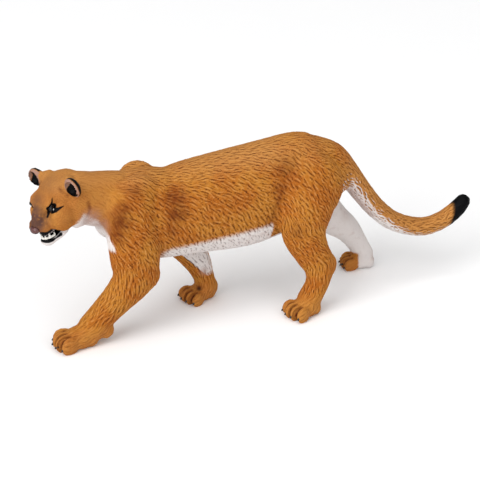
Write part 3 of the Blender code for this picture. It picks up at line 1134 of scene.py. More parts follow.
@dataclass(frozen=True)
class Ear:
    """The shape of the ears, in the head's axes, as the paint on them needs it.

    Attributes:
        root: Where the ear's middle stands on the head.
        axis: The direction up the ear.
        face: The direction out of its cup.
        length: How far it stands out.
        half_width: Half its width.
        half_depth: Half its depth, front to back.
        wall: How thick its wall is.
        long_share: The upright radius of its form as a share of its length.
        shell_rise: How far up the ear its outer form's middle is, as a share of its length.
        cup_rise: The same for the cup.
        cup_lead: How far the cup's middle is ahead, as a share of the wall.
        cup_line: The line down the middle of the cup's black.
        cup_widths: Half the black's width at the line's start and end.
    """

    root: Point = (-3.7, 7.4, 6.5)
    axis: Point = (0.0, 0.89, 0.46)
    face: Point = (0.88, 0.15, 0.25)
    length: float = 5.4
    half_width: float = 3.6
    half_depth: float = 1.9
    wall: float = 1.05
    long_share: float = 0.66
    shell_rise: float = 0.34
    cup_rise: float = 0.42
    cup_lead: float = 1.15
    cup_line: tuple[Point, ...] = ((-4.2, 10.2, 9.8), (-4.4, 9.6, 7.8), (-4.1, 9.2, 6.2))
    cup_widths: tuple[float, float] = (0.7, 3.0)

    SHELL_EDGE: ClassVar[Ramp] = Ramp(1.35, 1.15)
    CUP_EDGE: ClassVar[Ramp] = Ramp(1.22, 1.12)
    CUP_FOOT: ClassVar[Ramp] = Ramp(-1.2, -0.4)
    BLACK_EDGE: ClassVar[Ramp] = Ramp(0.25, -0.25)
    BACK_FACING: ClassVar[Ramp] = Ramp(0.35, 0.1)
    BACK_FOOT: ClassVar[Ramp] = Ramp(0.5, 1.3)
    RIM_FACING: ClassVar[Ramp] = Ramp(0.1, 0.5)
    RIM_FOOT: ClassVar[Ramp] = Ramp(0.2, 0.9)

    def axes(self) -> Array:
        """Works out the ear's own axes.

        Returns:
            The directions across it, out of its cup and up it, as rows.
        """
        up = np.array(self.axis) / np.linalg.norm(self.axis)
        face = np.array(self.face) - up * (np.array(self.face) @ up)
        face /= np.linalg.norm(face)
        return np.stack((np.cross(face, up), face, up))

    def _reach(self, seen: Array, ahead: float, rise: float, wall: float) -> Array:
        """Measures points against one of the ear's rounded forms.

        Args:
            seen: Rows of places in the ear's axes.
            ahead: How far out of the cup the form's middle is.
            rise: How far up the ear it is, as a share of its length.
            wall: How much less wide and long the form is than the whole ear.

        Returns:
            Each point's distance as a share of the form's radius.
        """
        radii = (self.half_width - wall, self.half_depth, self.length * self.long_share - wall)
        return np.linalg.norm((seen - (0.0, ahead, self.length * rise)) / radii, axis=1)

    def paint(self, points: Array) -> tuple[Array, Array]:
        """Finds the black back and cup and the pinkish rim.

        Args:
            points: Rows of points in the head's axes.

        Returns:
            The share of black and the share of pinkish rim at each point.
        """
        left = folded(points)
        seen = (left - self.root) @ self.axes().T
        _, out, up = seen.T
        near = self.SHELL_EDGE(self._reach(seen, 0.0, self.shell_rise, 0.0))
        cup = self._reach(seen, self.wall * self.cup_lead, self.cup_rise, self.wall)
        hollow = near * self.CUP_EDGE(cup) * self.CUP_FOOT(up)
        gap, along = to_segments(left, np.array(self.cup_line))
        deep = hollow * self.BLACK_EDGE(gap - np.interp(along, (0.0, 1.0), self.cup_widths))
        back = near * self.BACK_FACING(out) * self.BACK_FOOT(up) * (1.0 - hollow)
        rim = near * self.RIM_FOOT(up) * self.RIM_FACING(out)
        return np.maximum(deep, back), np.maximum(rim, hollow)


@dataclass(frozen=True)
class Paw:
    """One paw's place, from which its clefts, claws and toe paint are laid out.

    Attributes:
        name: The words that tell it from the others.
        x: Its place along the drawing.
        y: Its place across the drawing.
        heading: Its turn from straight ahead, in degrees.
        length: Its length in millimetres.
        width: Its width.
        height: Its height.
        spread: How far its toes fan out.
        toes: How many toes it has.
    """

    name: str
    x: float
    y: float
    heading: float
    length: float
    width: float
    height: float
    spread: float
    toes: int = 4

    TOE_REACH: ClassVar[float] = 0.56
    TOE_CURVE: ClassVar[float] = 0.62
    TOE_FAN: ClassVar[float] = 1.42
    TOE_RISE: ClassVar[float] = 0.34
    CLEFT_FRONT: ClassVar[tuple[float, float]] = (0.9, 1.06)
    CLEFT_BACK: ClassVar[tuple[float, float]] = (-0.12, 0.95)

    def matrix(self) -> Matrix:
        """Gives the paw's axes, x toward the toes.

        Returns:
            The matrix from paw to drawing.
        """
        turn = Matrix.Rotation(math.radians(180.0 + self.heading), 4, "Z")
        return Matrix.Translation((self.x, self.y, 0.0)) @ turn

    def local(self, points: Array) -> Array:
        """Carries drawing points to the paw's axes."""
        return carried_back(points, self.matrix())

    def place(self, point: Point) -> Point:
        """Carries a point from the paw's axes to the drawing."""
        return tuple(self.matrix() @ Vector(point))

    def toe(self, across: float) -> Point:
        """Gives the middle of a toe, or of the cleft between two.

        Args:
            across: How far across the paw, from -0.5 to 0.5.

        Returns:
            The place in the paw's axes.
        """
        reach = self.length / 2 * (self.TOE_REACH - self.TOE_CURVE * across * across)
        aside = across * self.width / 2 * self.TOE_FAN * self.spread
        return (reach, aside, self.height * self.TOE_RISE)

    def clefts(self, width: float, soft: float) -> tuple[Cleft, ...]:
        """Gives the clefts between the toes.

        Args:
            width: Half their width.
            soft: How far their edges fade.

        Returns:
            One for each pair of neighbours.
        """
        cuts = []
        for number in range(self.toes - 1):
            across = (number + 0.5) / (self.toes - 1) - 0.5
            x, y, _ = self.toe(across)
            front, back = (
                self.place((x + self.length / 2 * ahead, y * fan, 0.0))
                for ahead, fan in (self.CLEFT_FRONT, self.CLEFT_BACK)
            )
            cuts.append(Cleft(front, back, self.height, width, soft))
        return tuple(cuts)


PAWS: tuple[Paw, ...] = (
    Paw("left_fore", -56.6, -9.0, 6.0, 15.2, 9.8, 7.5, 1.0),
    Paw("right_fore", -9.6, 8.5, 18.0, 12.4, 9.2, 5.8, 1.1),
    Paw("left_hind", 19.1, -14.0, 16.0, 12.8, 9.4, 6.6, 1.1),
    Paw("right_hind", 49.9, 12.9, -13.0, 12.4, 8.6, 5.6, 1.0),
)


def toe_clefts(width: float, soft: float) -> Touches:
    """Gathers the clefts of all four paws.

    Args:
        width: Half their width.
        soft: How far their edges fade.

    Returns:
        Them as one group.
    """
    return Touches(tuple(cleft for paw in PAWS for cleft in paw.clefts(width, soft)), mirrored=False)


@dataclass(frozen=True)
class Paintwork:
    """Where the coat's colours change.

    Attributes:
        points: Rows of drawing points on the skin.
        normal: The outward direction at each.
        local: The same points in the head's axes.
    """

    points: Array
    normal: Array
    local: Array

    # Dark brown before and behind the shoulders, at flank and thigh, in the toes' clefts, at the cheek and
    # ear root: partly airbrushed paint, partly painted shade.
    HOLLOW_PAINT_AND_SHADE: ClassVar[tuple[Touches, ...]] = (
        Touches(
            (
                Dab((-22.6, 10.5, 47.5), 6.5, 0.85),
                Dab((-22.5, 11.0, 42.0), 6.0, 0.85),
                Dab((-24.5, 10.5, 37.0), 4.5, 0.5),
                Dab((-41.8, 12.0, 42.5), 6.5, 0.85),
                Dab((-40.4, 11.6, 46.5), 4.5, 0.7),
                Dab((-42.8, 11.5, 38.0), 5.5, 0.8),
                Dab((-36.0, 9.0, 51.0), 4.5, 0.4),
                Dab((14.4, 8.6, 51.0), 7.0, 0.5),
                Dab((12.0, 10.6, 45.5), 4.5, 0.55),
                Dab((16.5, 14.0, 31.0), 4.5, 0.45),
                Stroke(((9.2, 10.2, 31.0), (10.2, 11.2, 37.0), (12.4, 10.8, 45.0)), 1.0, 0.5, 1.4, 0.8),
                Stroke(((7.2, 10.2, 31.2), (7.8, 10.8, 36.5)), 0.4, 0.3, 0.7, 0.7),
            )
        ),
        Touches((Dab((24.0, -12.5, 8.5), 3.5, 0.4), Dab((-10.2, 6.6, 5.4), 2.0, 0.9)), mirrored=False),
        Touches(
            (
                Stroke(((-5.4, 9.9, -0.6), (-4.8, 9.6, -3.2), (-3.4, 8.4, -5.6)), 0.35, 0.25, 0.9, 1.1),
                Stroke(((3.6, 7.4, -1.6), (1.0, 7.6, -3.4)), 0.3, 0.2, 1.2, 0.4),
                # Painted shadow along the front of the ear's root.
                Stroke(((-1.6, 4.7, 7.6), (-1.4, 5.4, 6.6), (-2.0, 6.6, 5.0)), 0.45, 0.3, 0.8, 0.75),
                Stroke(((4.6, 6.6, -0.6), (2.0, 7.4, -1.6)), 0.3, 0.2, 0.9, 0.4),
            ),
            on_head=True,
        ),
        toe_clefts(0.35, 0.6),
    )
    INKED: ClassVar[tuple[Touches, ...]] = (
        Touches(
            (
                Stroke(((9.1, 10.0, 30.4), (9.5, 10.6, 33.6)), 0.28, 0.12, 0.3, 0.95),
                Stroke(((4.6, 10.2, 30.8), (4.8, 10.5, 32.6)), 0.14, 0.06, 0.15, 0.7),
                Stroke(((-1.8, 10.3, 30.2), (-1.5, 10.6, 31.9)), 0.12, 0.05, 0.15, 0.6),
            )
        ),
        Touches(
            (
                Stroke(((-14.9, 6.4, 17.6), (-12.6, 6.4, 15.2), (-10.6, 6.4, 13.2)), 0.12, 0.2, 0.2, 0.8),
                Dab((-10.0, 6.4, 5.0), 1.2, 0.9),
            ),
            mirrored=False,
        ),
        toe_clefts(0.12, 0.2),
        Touches(
            (
                Stroke(((5.0, 4.3, 4.3), (5.3, 3.2, 2.9), (6.3, 3.0, 1.9)), 0.75, 0.32, 0.1, 1.0),
                Stroke(
                    ((5.0, 4.6, 4.0), (4.0, 5.8, 3.7), (2.9, 6.3, 3.5), (1.3, 6.5, 3.0)),
                    1.25,
                    0.16,
                    0.1,
                    1.0,
                ),
                Stroke(((4.2, 4.7, 5.4), (3.4, 4.9, 5.9), (2.2, 4.5, 6.9)), 0.6, 0.12, 0.1, 1.0),
                Stroke(((1.3, 6.5, 3.0), (-0.2, 6.3, 4.1)), 0.12, 0.06, 0.12, 0.7),
                Stroke(
                    ((11.4, 1.0, -2.1), (10.6, 3.0, -1.3), (8.4, 4.5, -1.9), (6.4, 5.0, -3.6)),
                    0.8,
                    0.6,
                    0.12,
                    1.0,
                ),
                Stroke(((6.4, 5.0, -3.6), (5.4, 4.4, -5.1), (5.6, 3.6, -6.2)), 0.8, 0.6, 0.12, 1.0),
                Stroke(
                    ((10.4, 0.0, -5.5), (9.8, 2.0, -5.8), (8.4, 2.9, -6.1), (5.8, 3.6, -6.2)),
                    0.75,
                    0.5,
                    0.1,
                    1.0,
                ),
            ),
            on_head=True,
        ),
    )
    BLUSHED: ClassVar[tuple[Touches, ...]] = (
        Touches(
            (
                Dab((9.6, 0.0, 2.0), 7.5, 1.35),
                Dab((7.6, 0.0, 4.8), 5.5, 0.95),
                Dab((5.0, 0.0, 7.0), 5.5, 0.6),
                Dab((10.8, 2.2, -0.2), 2.6, 0.7),
                Dab((-1.0, 0.0, 9.5), 8.0, 0.35),
            ),
            on_head=True,
        ),
    )
    ROSY: ClassVar[tuple[Touches, ...]] = (
        Touches(
            (
                Dab((-50.0, 7.6, 43.6), 5.5, 0.8),
                Dab((-46.5, 6.4, 40.0), 5.5, 0.7),
                Stroke(((36.0, 0.0, 41.5), (41.0, 0.0, 35.0), (47.0, 0.0, 27.5)), 3.8, 3.2, 1.2, 0.5),
            )
        ),
        Touches(
            (
                Dab((43.0, 9.0, 22.5), 4.0, 0.2),
                Dab((-8.2, 6.4, 11.2), 2.4, 0.7),
                Dab((54.5, 12.0, 3.5), 3.6, 0.6),
            ),
            mirrored=False,
        ),
    )
    TAIL_LINE: ClassVar[tuple[Point, ...]] = (
        (26.6, 0.0, 51.3),
        (33.9, 0.0, 48.6),
        (39.9, 0.0, 41.9),
        (44.8, 0.0, 35.0),
        (50.0, 0.0, 28.2),
        (56.0, 0.0, 22.6),
        (62.8, 0.0, 19.2),
        (69.4, 0.0, 18.0),
        (75.4, 0.0, 19.4),
        (80.2, 0.0, 22.4),
        (82.8, 0.0, 25.2),
    )
    TAIL_EDGE: ClassVar[tuple[tuple[float, float], ...]] = (
        (34.0, 0.1),
        (40.0, 0.12),
        (46.0, 0.18),
        (50.0, 0.2),
        (54.0, 0.12),
        (59.0, 0.26),
        (63.0, 0.55),
        (84.0, 0.66),
    )
    THROAT_EDGE: ClassVar[tuple[tuple[float, float], ...]] = (
        (-54.0, 43.6),
        (-52.2, 45.4),
        (-50.1, 43.9),
        (-47.3, 41.7),
        (-44.8, 37.5),
        (-42.5, 31.0),
    )
    FAR_SHANK: ClassVar[tuple[Point, ...]] = (
        (33.0, 10.2, 27.4),
        (39.4, 11.4, 20.8),
        (45.2, 12.2, 15.6),
        (51.9, 12.9, 4.8),
    )
    MOUTH_MIDDLE: ClassVar[Point] = (8.2, 0.0, -3.7)
    MOUTH_RADII: ClassVar[Point] = (4.9, 5.2, 2.3)
    MOUTH_TILT: ClassVar[float] = math.radians(-12.0)
    EYE_SEAT: ClassVar[Point] = (4.1, 4.4, 4.5)
    EYE_SEAT_RADII: ClassVar[Point] = (1.9, 1.4, 1.35)
    FRAY: ClassVar[float] = 0.03  # how far the combed coat frays the white's edge

    def masks(self, band: Array) -> dict[str, Array]:
        """Works out every mask of the paint.

        Args:
            band: The combed coat's height at each point.

        Returns:
            The masks by name.
        """
        dark_ear, ear_rim = Ear().paint(self.local)
        pale = self._pale() + self.FRAY * np.clip(band, -2.0, 2.0)
        ink = (covered(self.points, self.INKED), self._black_tip(), self._mouth(), dark_ear)
        return {
            "pale": pale * (1.0 - ear_rim),
            # The hollows' dark brown: partly airbrushed paint, partly painted shade.
            "shade_and_wash": covered(self.points, self.HOLLOW_PAINT_AND_SHADE),
            "ink": np.maximum.reduce(ink),
            "mauve": covered(self.points, self.BLUSHED),
            "rose": np.maximum(covered(self.points, self.ROSY), ear_rim * (1.0 - dark_ear)),
            # The lighter tan of the upper parts, painted light from above.
            "top_lit_fawn": self._top_lit_fawn(),
        }

    def _pale(self) -> Array:
        """Masks all that is white.

        Returns:
            A share for each point.
        """
        legs = np.maximum(self._inner_legs(), self._far_hind())
        return np.maximum.reduce((self._belly(), legs, self._throat(), self._jaw(), self._tail_underside()))

    def _belly(self) -> Array:
        """Masks the white underside of the body, short of the near thigh.

        Returns:
            A share for each point.
        """
        x, y, z = self.points.T
        below = soft_step(2.6, -2.2, z - (31.5 + 0.1 * x)) * soft_step(20.0, 24.0, z)
        between = soft_step(-30.0, -23.0, x) * soft_step(32.0, 22.0, x)
        middle = soft_step(13.2, 11.6, np.abs(y))
        near_thigh = soft_step(9.5, 11.0, x) * soft_step(-5.0, -7.0, y)
        return below * between * middle * (1.0 - near_thigh)

    def _inner_legs(self) -> Array:
        """Masks the white inner faces of the legs.

        Returns:
            A share for each point.
        """
        _, y, z = self.points.T
        facing = soft_step(0.35, 0.8, self.normal[:, 1] * -np.sign(y))
        height = soft_step(34.0, 30.0, z) * soft_step(8.0, 12.0, z)
        return facing * height * (1.0 - self._far_fore())

    def _jaw(self) -> Array:
        """Masks the white chin and lower jaw.

        Returns:
            A share for each point.
        """
        ahead, _, up = self.local.T
        below = soft_step(-5.0, -5.8, up - 0.05 * (6.0 - ahead))
        return below * soft_step(-4.5, -2.0, ahead) * (np.linalg.norm(self.local, axis=1) < 16.0)

    def _throat(self) -> Array:
        """Masks the throat below the line from the cheek to the chest.

        Returns:
            A share for each point.
        """
        x, _, z = self.points.T
        edge = np.interp(x, *np.array(self.THROAT_EDGE).T)
        below = soft_step(2.2, -1.6, z - edge) * soft_step(31.0, 34.0, z)
        between = soft_step(-56.5, -53.0, x) * soft_step(-42.0, -44.0, x)
        return below * between * soft_step(0.35, 0.0, self.normal[:, 2])

    def _far_fore(self) -> Array:
        """Masks the tan front band and paw of the right foreleg's inner face.

        Returns:
            A share for each point.
        """
        x, y, z = self.points.T
        line = -14.9 + 0.95 * (17.6 - z)
        band = np.where(z > 9.4, soft_step(0.6, -0.6, x - line), soft_step(-3.8, -5.2, x - 0.1 * z))
        return band * (y > 3.0) * (x > -30.0) * (x < 5.0) * soft_step(36.0, 30.0, z)

    def _far_hind(self) -> Array:
        """Masks the white shank and heel of the right hind leg, short of its toes.

        Returns:
            A share for each point.
        """
        x, y, z = self.points.T
        gap, _ = to_segments(self.points, np.array(self.FAR_SHANK))
        whole = soft_step(9.5, 8.0, gap) * (y > 2.0) * soft_step(31.0, 27.0, z)
        outer = soft_step(13.4, 15.4, y - 0.05 * (x - 40.0))
        toes = soft_step(-0.6, 0.8, PAWS[3].local(self.points)[:, 0]) * soft_step(7.5, 5.5, z)
        return whole * (1.0 - toes) * (1.0 - outer)

    def _tail_underside(self) -> Array:
        """Masks the white underside of the tail, below the edge of its tan top.

        Returns:
            A share for each point.
        """
        x, y, _ = self.points.T
        line = np.array(self.TAIL_LINE)
        gap, along = to_segments(self.points, line)
        way = segment_ways(line, along)
        under = self.normal[:, 0] * way[:, 2] - self.normal[:, 2] * way[:, 0]
        edge = np.interp(x, *np.array(self.TAIL_EDGE).T)
        on_tail = soft_step(8.5, 7.0, gap) * soft_step(33.0, 36.0, x) * (np.abs(y) < 6.0)
        return on_tail * soft_step(-0.3, 0.25, under - edge)

    def _black_tip(self) -> Array:
        """Masks the black end of the tail.

        Returns:
            A share for each point.
        """
        x, y, z = self.points.T
        end = soft_step(76.8, 78.2, x - 0.25 * (z - 20.0))
        return end * (np.abs(y) < 5.0) * soft_step(12.0, 14.0, z)

    def _mouth(self) -> Array:
        """Masks the dark inside of the open mouth and the seats of the eyes.

        Returns:
            A share for each point.
        """
        cos, sin = math.cos(self.MOUTH_TILT), math.sin(self.MOUTH_TILT)
        ahead, aside, up = (self.local - self.MOUTH_MIDDLE).T
        seen = np.stack((ahead * cos - up * sin, aside, ahead * sin + up * cos), axis=1)
        inside = np.linalg.norm(seen / self.MOUTH_RADII, axis=1)
        seat = np.linalg.norm((folded(self.local) - self.EYE_SEAT) / self.EYE_SEAT_RADII, axis=1)
        return np.maximum(soft_step(1.12, 1.04, inside), soft_step(1.1, 0.95, seat))

    def _top_lit_fawn(self) -> Array:
        """Masks the lighter tan along the back, the neck's ridge and the crown, painted light from above.

        Returns:
            A share for each point.
        """
        x, y, z = self.points.T
        back = 0.8 * soft_step(49.0, 56.0, z) * (1.0 - 0.5 * soft_step(8.0, 20.0, x))
        tail = 0.7 * soft_step(32.0, 44.0, x) * (np.abs(y) < 6.5)
        neck = 0.45 * soft_step(-40.0, -46.0, x) * soft_step(40.0, 46.0, z)
        crown = 0.7 * soft_step(6.0, 9.5, self.local[:, 2]) * (self.local[:, 0] > -9.0)
        paws = 0.35 * soft_step(9.0, 4.0, z)
        return np.maximum.reduce((back, tail, neck, crown, paws))


@dataclass(frozen=True)
class Skin:
    """The figurine's moulded and painted skin.

    Attributes:
        detail: How finely it is cut.
        groove_depth: The depth of the carved coat, in millimetres.
        crest_share: How far the hair tops rise, as a share of that depth.
        cut_depth: The depth of the clefts and folds, in millimetres.
        hair_length: How far one groove runs each way, in millimetres.
        face_hair: The same near the face.
        smoothing: How many rounds of smoothing the fused form gets.
        nodes: The CAD nodes that it stands for.
    """

    detail: Detail
    groove_depth: float = 0.2
    crest_share: float = 0.3
    cut_depth: float = 0.65
    hair_length: float = 1.5
    face_hair: float = 0.8
    smoothing: int = 90
    nodes: tuple[str, ...] = (
        "torso",
        "neck",
        "head",
        "lower_jaw",
        "ear_left",
        "ear_right",
        "tail_root",
        "tail_upper",
        "tail_lower",
        "tail_tip",
        *(
            f"{leg}_{side}_{part}"
            for leg in ("foreleg", "hindleg")
            for side in ("left", "right")
            for part in ("upper", "lower", "paw")
        ),
    )

    FINE_SPOTS: ClassVar[tuple[Touches, ...]] = (
        Touches(
            (
                Dab((9.0, 0.0, -3.5), 9.5, 1.0),
                Dab((4.1, 4.4, 4.5), 4.0, 1.0),
                Dab((-3.6, 9.2, 7.6), 8.0, 1.0),
            ),
            on_head=True,
        ),
        Touches(
            tuple(
                Dab(paw.place((paw.length * 0.34, 0.0, paw.height * 0.4)), paw.length * 0.6, 1.0)
                for paw in PAWS
            ),
            mirrored=False,
        ),
    )
    HOLLOWS: ClassVar[tuple[Touches, ...]] = (
        Touches(
            (
                Dab((-22.5, 10.5, 43.0), 9.0, 0.5),
                Dab((-42.0, 11.5, 40.0), 7.0, 0.5),
                Dab((10.0, 11.0, 38.0), 6.0, 0.35),
            )
        ),
    )
    SWELLS: ClassVar[tuple[Touches, ...]] = (
        Touches(
            (
                Stroke(((4.2, 4.6, -6.6), (0.5, 5.6, -7.4), (-2.6, 6.2, -8.0)), 1.0, 1.2, 2.2, 0.55),
                Dab((5.4, 6.0, 2.2), 2.6, 0.2),
                Dab((7.4, 2.2, 3.0), 2.0, 0.25),
                Dab((8.6, 3.6, 0.4), 2.2, 0.3),
            ),
            on_head=True,
        ),
    )
    CARVED: ClassVar[tuple[Touches, ...]] = (
        Touches(
            (
                Stroke(((9.0, 9.8, 30.2), (9.8, 10.6, 35.0), (10.6, 11.0, 39.5)), 0.45, 0.1, 0.7, 1.0),
                Stroke(((7.2, 10.2, 31.0), (7.8, 10.8, 35.5)), 0.2, 0.1, 0.4, 0.6),
                Stroke(((4.6, 10.2, 30.6), (4.9, 10.5, 33.2)), 0.15, 0.1, 0.3, 0.6),
                Stroke(((-1.8, 10.3, 29.8), (-1.4, 10.6, 32.4)), 0.15, 0.1, 0.3, 0.5),
            )
        ),
        Touches(
            (
                Stroke(((6.6, 2.4, 4.6), (7.6, 2.9, 2.6), (8.2, 3.4, 1.6)), 0.3, 0.2, 0.8, 0.45),
                Stroke(((-5.3, 9.9, -0.8), (-4.7, 9.5, -3.4), (-3.4, 8.3, -5.6)), 0.25, 0.15, 0.7, 0.6),
            ),
            on_head=True,
        ),
        toe_clefts(0.25, 0.45),
    )
    FACE_MIDDLE: ClassVar[Point] = (3.0, 0.0, 1.5)
    GROOVE: ClassVar[Ramp] = Ramp(0.25, 1.7)
    CREST: ClassVar[Ramp] = Ramp(0.3, 1.9)
    FAR_HIND_LINE: ClassVar[tuple[Point, ...]] = ((36.0, 9.5, 26.0), (52.0, 12.9, 4.8))

    def _fine(self, points: Array) -> Array:
        """Gives how finely modelled, and so how little smoothed, each drawing point is."""
        return np.clip(1.6 * covered(points, self.FINE_SPOTS), 0.0, 1.0)

    def _near_face(self, points: Array, reach: float) -> Array:
        """Says which drawing points lie within reach of the face's middle."""
        return np.linalg.norm(HEAD.local(points) - self.FACE_MIDDLE, axis=1) < reach

    def _model(self) -> Surface:
        """Fuses, smooths and sculpts the form.

        Returns:
            The skin, cut finer at the head.
        """
        surface = Fusion(self.nodes, self.detail.value).surface("coat_skin")
        scale = (Detail.FULL.value / self.detail.value) ** 2
        fine = self._fine(surface.points.astype(np.float64))
        surface.relax(int(self.smoothing * scale), 1.0 - 0.95 * fine)
        points = surface.points.astype(np.float64)
        surface.push(covered(points, self.SWELLS) - covered(points, self.HOLLOWS))
        return surface.refined(self._near_face(surface.points.astype(np.float64), 13.5))

    def _groom(self, surface: Surface) -> tuple[Array, Array, Array]:
        """Carves the combed grooves of the coat, the toes' clefts and the folds.

        Args:
            surface: The skin.

        Returns:
            The shares of groove and of crest at each point, and the combed coat's height there.
        """
        lie = CoatFlow().lie(surface)
        noise = surface.blurred(np.random.default_rng(SEED).random(surface.count), 2)
        points = surface.points.astype(np.float64)
        reach = np.where(self._near_face(points, 12.0), self.face_hair, self.hair_length)
        combed = surface.walk(noise, lie, reach, 0.9 * self.detail.value)
        band = combed - surface.blurred(combed, 10)
        band /= np.sqrt(surface.blurred(band * band, 60)) + 1e-9
        strength = self._coat_strength(points)
        groove = self.GROOVE(-band) * strength
        # The same share raises the hair tops and marks their painted highlight.
        highlit_crest = self.CREST(band) * strength
        coat = self.groove_depth * (self.crest_share * highlit_crest - groove)
        surface.push(coat - self.cut_depth * covered(points, self.CARVED))
        return groove, highlit_crest, band

    def _coat_strength(self, points: Array) -> Array:
        """Says how deep the coat is carved from place to place.

        Args:
            points: Rows of drawing points.

        Returns:
            A share for each point.
        """
        x, y, z = points.T
        strength = 1.0 - 0.45 * self._fine(points)
        strength = np.minimum(strength, 0.3 + 0.7 * soft_step(-45.0, -37.0, x + 0.25 * (44.0 - z)))
        front_leg = soft_step(-34.0, -38.0, x) * soft_step(34.0, 30.0, z)
        strength = np.maximum(strength, 0.85 * front_leg)
        gap, _ = to_segments(points, np.array(self.FAR_HIND_LINE))
        far_hind = soft_step(9.0, 6.0, gap) * soft_step(30.0, 34.0, x) * soft_step(0.0, 4.0, y)
        paws = 0.45 * soft_step(9.0, 6.5, z)
        return strength * (1.0 - 0.75 * far_hind) * (1.0 - paws)

    def build(self) -> bpy.types.Object:
        """Builds the skin.

        Returns:
            The piece, with its paint.
        """
        surface = self._model()
        LOG.info("skin modelled with %d points", surface.count)
        groove, highlit_crest, band = self._groom(surface)
        surface.points[:, 2] = np.maximum(surface.points[:, 2], 0.0)
        points = surface.points.astype(np.float64)
        paint = Paintwork(points, surface.normals(), HEAD.local(points)).masks(band)
        masks = {"groove": groove, "highlit_crest": highlit_crest, **paint}
        return dressed("coat_skin", surface, masks, CoatPaint().material(), self.nodes)


@dataclass(frozen=True)
class Claws:
    """The four small dark claws of one paw, each a bent and tapered horn set in its toe.

    Attributes:
        paw: The paw that carries them.
        radius: A claw's radius where it leaves the toe, in millimetres.
        length: How long it is along its bend.
        rings: How many rings of points it has.
        sides: How many points each ring has.
    """

    paw: Paw
    radius: float = 0.46
    length: float = 1.5
    rings: int = 9
    sides: int = 12

    def _horn(self, root: Vector, turn: float) -> tuple[Array, list[list[int]]]:
        """Builds one claw.

        Args:
            root: Where it starts inside the toe, in the paw's axes.
            turn: Its turn about the vertical, in radians.

        Returns:
            Its points in the drawing and its faces.
        """
        points = []
        for ring in range(self.rings):
            share = ring / (self.rings - 1)
            bend = -0.25 - 1.15 * share
            centre = root + Matrix.Rotation(turn, 3, "Z") @ Vector(
                (self.length * (share - 0.28 * share * share), 0.0, -self.length * 0.42 * share * share)
            )
            size = self.radius * math.sqrt(max(0.0, 1.0 - share**1.8)) + 0.03
            for side in range(self.sides):
                angle = 2.0 * math.pi * side / self.sides
                up = Vector((-math.sin(bend), 0.0, math.cos(bend))) * math.cos(angle) * size * 1.15
                out = Vector((0.0, 1.0, 0.0)) * math.sin(angle) * size * 0.8
                points.append(self.paw.matrix() @ (centre + Matrix.Rotation(turn, 3, "Z") @ (up + out)))
        last = (self.rings - 1) * self.sides
        faces = [list(range(self.sides))[::-1], [last + side for side in range(self.sides)]]
        for ring in range(self.rings - 1):
            low = ring * self.sides
            for side in range(self.sides):
                after = (side + 1) % self.sides
                faces.append([low + side, low + after, low + self.sides + after, low + self.sides + side])
        return np.array(points), faces

    def build(self, material: bpy.types.Material) -> bpy.types.Object:
        """Builds the paw's claws as one piece.

        Args:
            material: Their finish.

        Returns:
            The piece.
        """
        points, faces = [], []
        paw = self.paw
        for number in range(paw.toes):
            across = (number - (paw.toes - 1) / 2) / (paw.toes - 1)
            x, y, _ = paw.toe(across)
            turn = math.radians(26.0 * across)
            ahead = paw.length / 2 * 0.46 - self.length * 0.72
            root = Vector((x + ahead * math.cos(turn), y + ahead * math.sin(turn), paw.height * 0.3))
            own, corners = self._horn(root, turn)
            faces += [[index + len(points) * len(own) for index in corner] for corner in corners]
            points.append(own)
        name = f"{paw.name}_claws"
        surface = Surface(mesh_from(name, np.concatenate(points), faces))
        return dressed(name, surface, {}, material)


def dressed(
    name: str,
    surface: Surface,
    masks: dict[str, Array],
    material: bpy.types.Material,
    nodes: tuple[str, ...] = (),
) -> bpy.types.Object:
    """Turns a surface into a finished piece of the frame.

    Args:
        name: The piece's name.
        surface: Its surface, in drawing millimetres.
        masks: Its paint masks by name.
        material: Its material.
        nodes: The CAD nodes that it replaces.

    Returns:
        The piece.
    """
    surface.points = ((surface.points + DRAWING_ORIGIN) * MM).astype(np.float32)
    mesh = surface.store()
    mesh.name = name
    for mask, values in masks.items():
        layer = mesh.attributes.new(mask, "FLOAT", "POINT")
        layer.data.foreach_set("value", np.clip(values, 0.0, 1.0).astype(np.float32))
    mesh.polygons.foreach_set("use_smooth", np.ones(len(mesh.polygons), bool))
    mesh.materials.clear()
    mesh.materials.append(material)
    piece = placed(name, mesh)
    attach(piece, BODY)
    if nodes:
        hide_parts(*nodes)
    LOG.info("%s has %d faces", name, len(mesh.polygons))
    return piece


@dataclass(frozen=True)
class Trimming:
    """A small separate piece of the head, cast finer from its CAD node.

    Attributes:
        name: The piece's name.
        node: The CAD node that it replaces.
        slot: The record's finish that it takes; not used.
        voxel: The size of its faces, in millimetres.
        relax_steps: How much it is smoothed.
    """

    name: str
    node: str
    slot: Slot
    voxel: float = 0.12
    relax_steps: int = 10

    def build(self, material: bpy.types.Material) -> bpy.types.Object:
        """Builds the piece.

        Args:
            material: Its finish.

        Returns:
            The piece.
        """
        surface = Fusion((self.node,), self.voxel, 0.05).surface(self.name)
        surface.relax(self.relax_steps, np.ones(surface.count))
        return dressed(self.name, surface, {}, material, (self.node,))


@dataclass(frozen=True)
class Softbox:
    """One square soft light that faces the figurine.

    Attributes:
        name: Its name.
        azimuth: Its turn about the vertical, in degrees.
        elevation: Its angle above the table, in degrees.
        side: The side of the square, in metres.
        power: Its power in watts.
    """

    name: str
    azimuth: float
    elevation: float
    side: float
    power: float


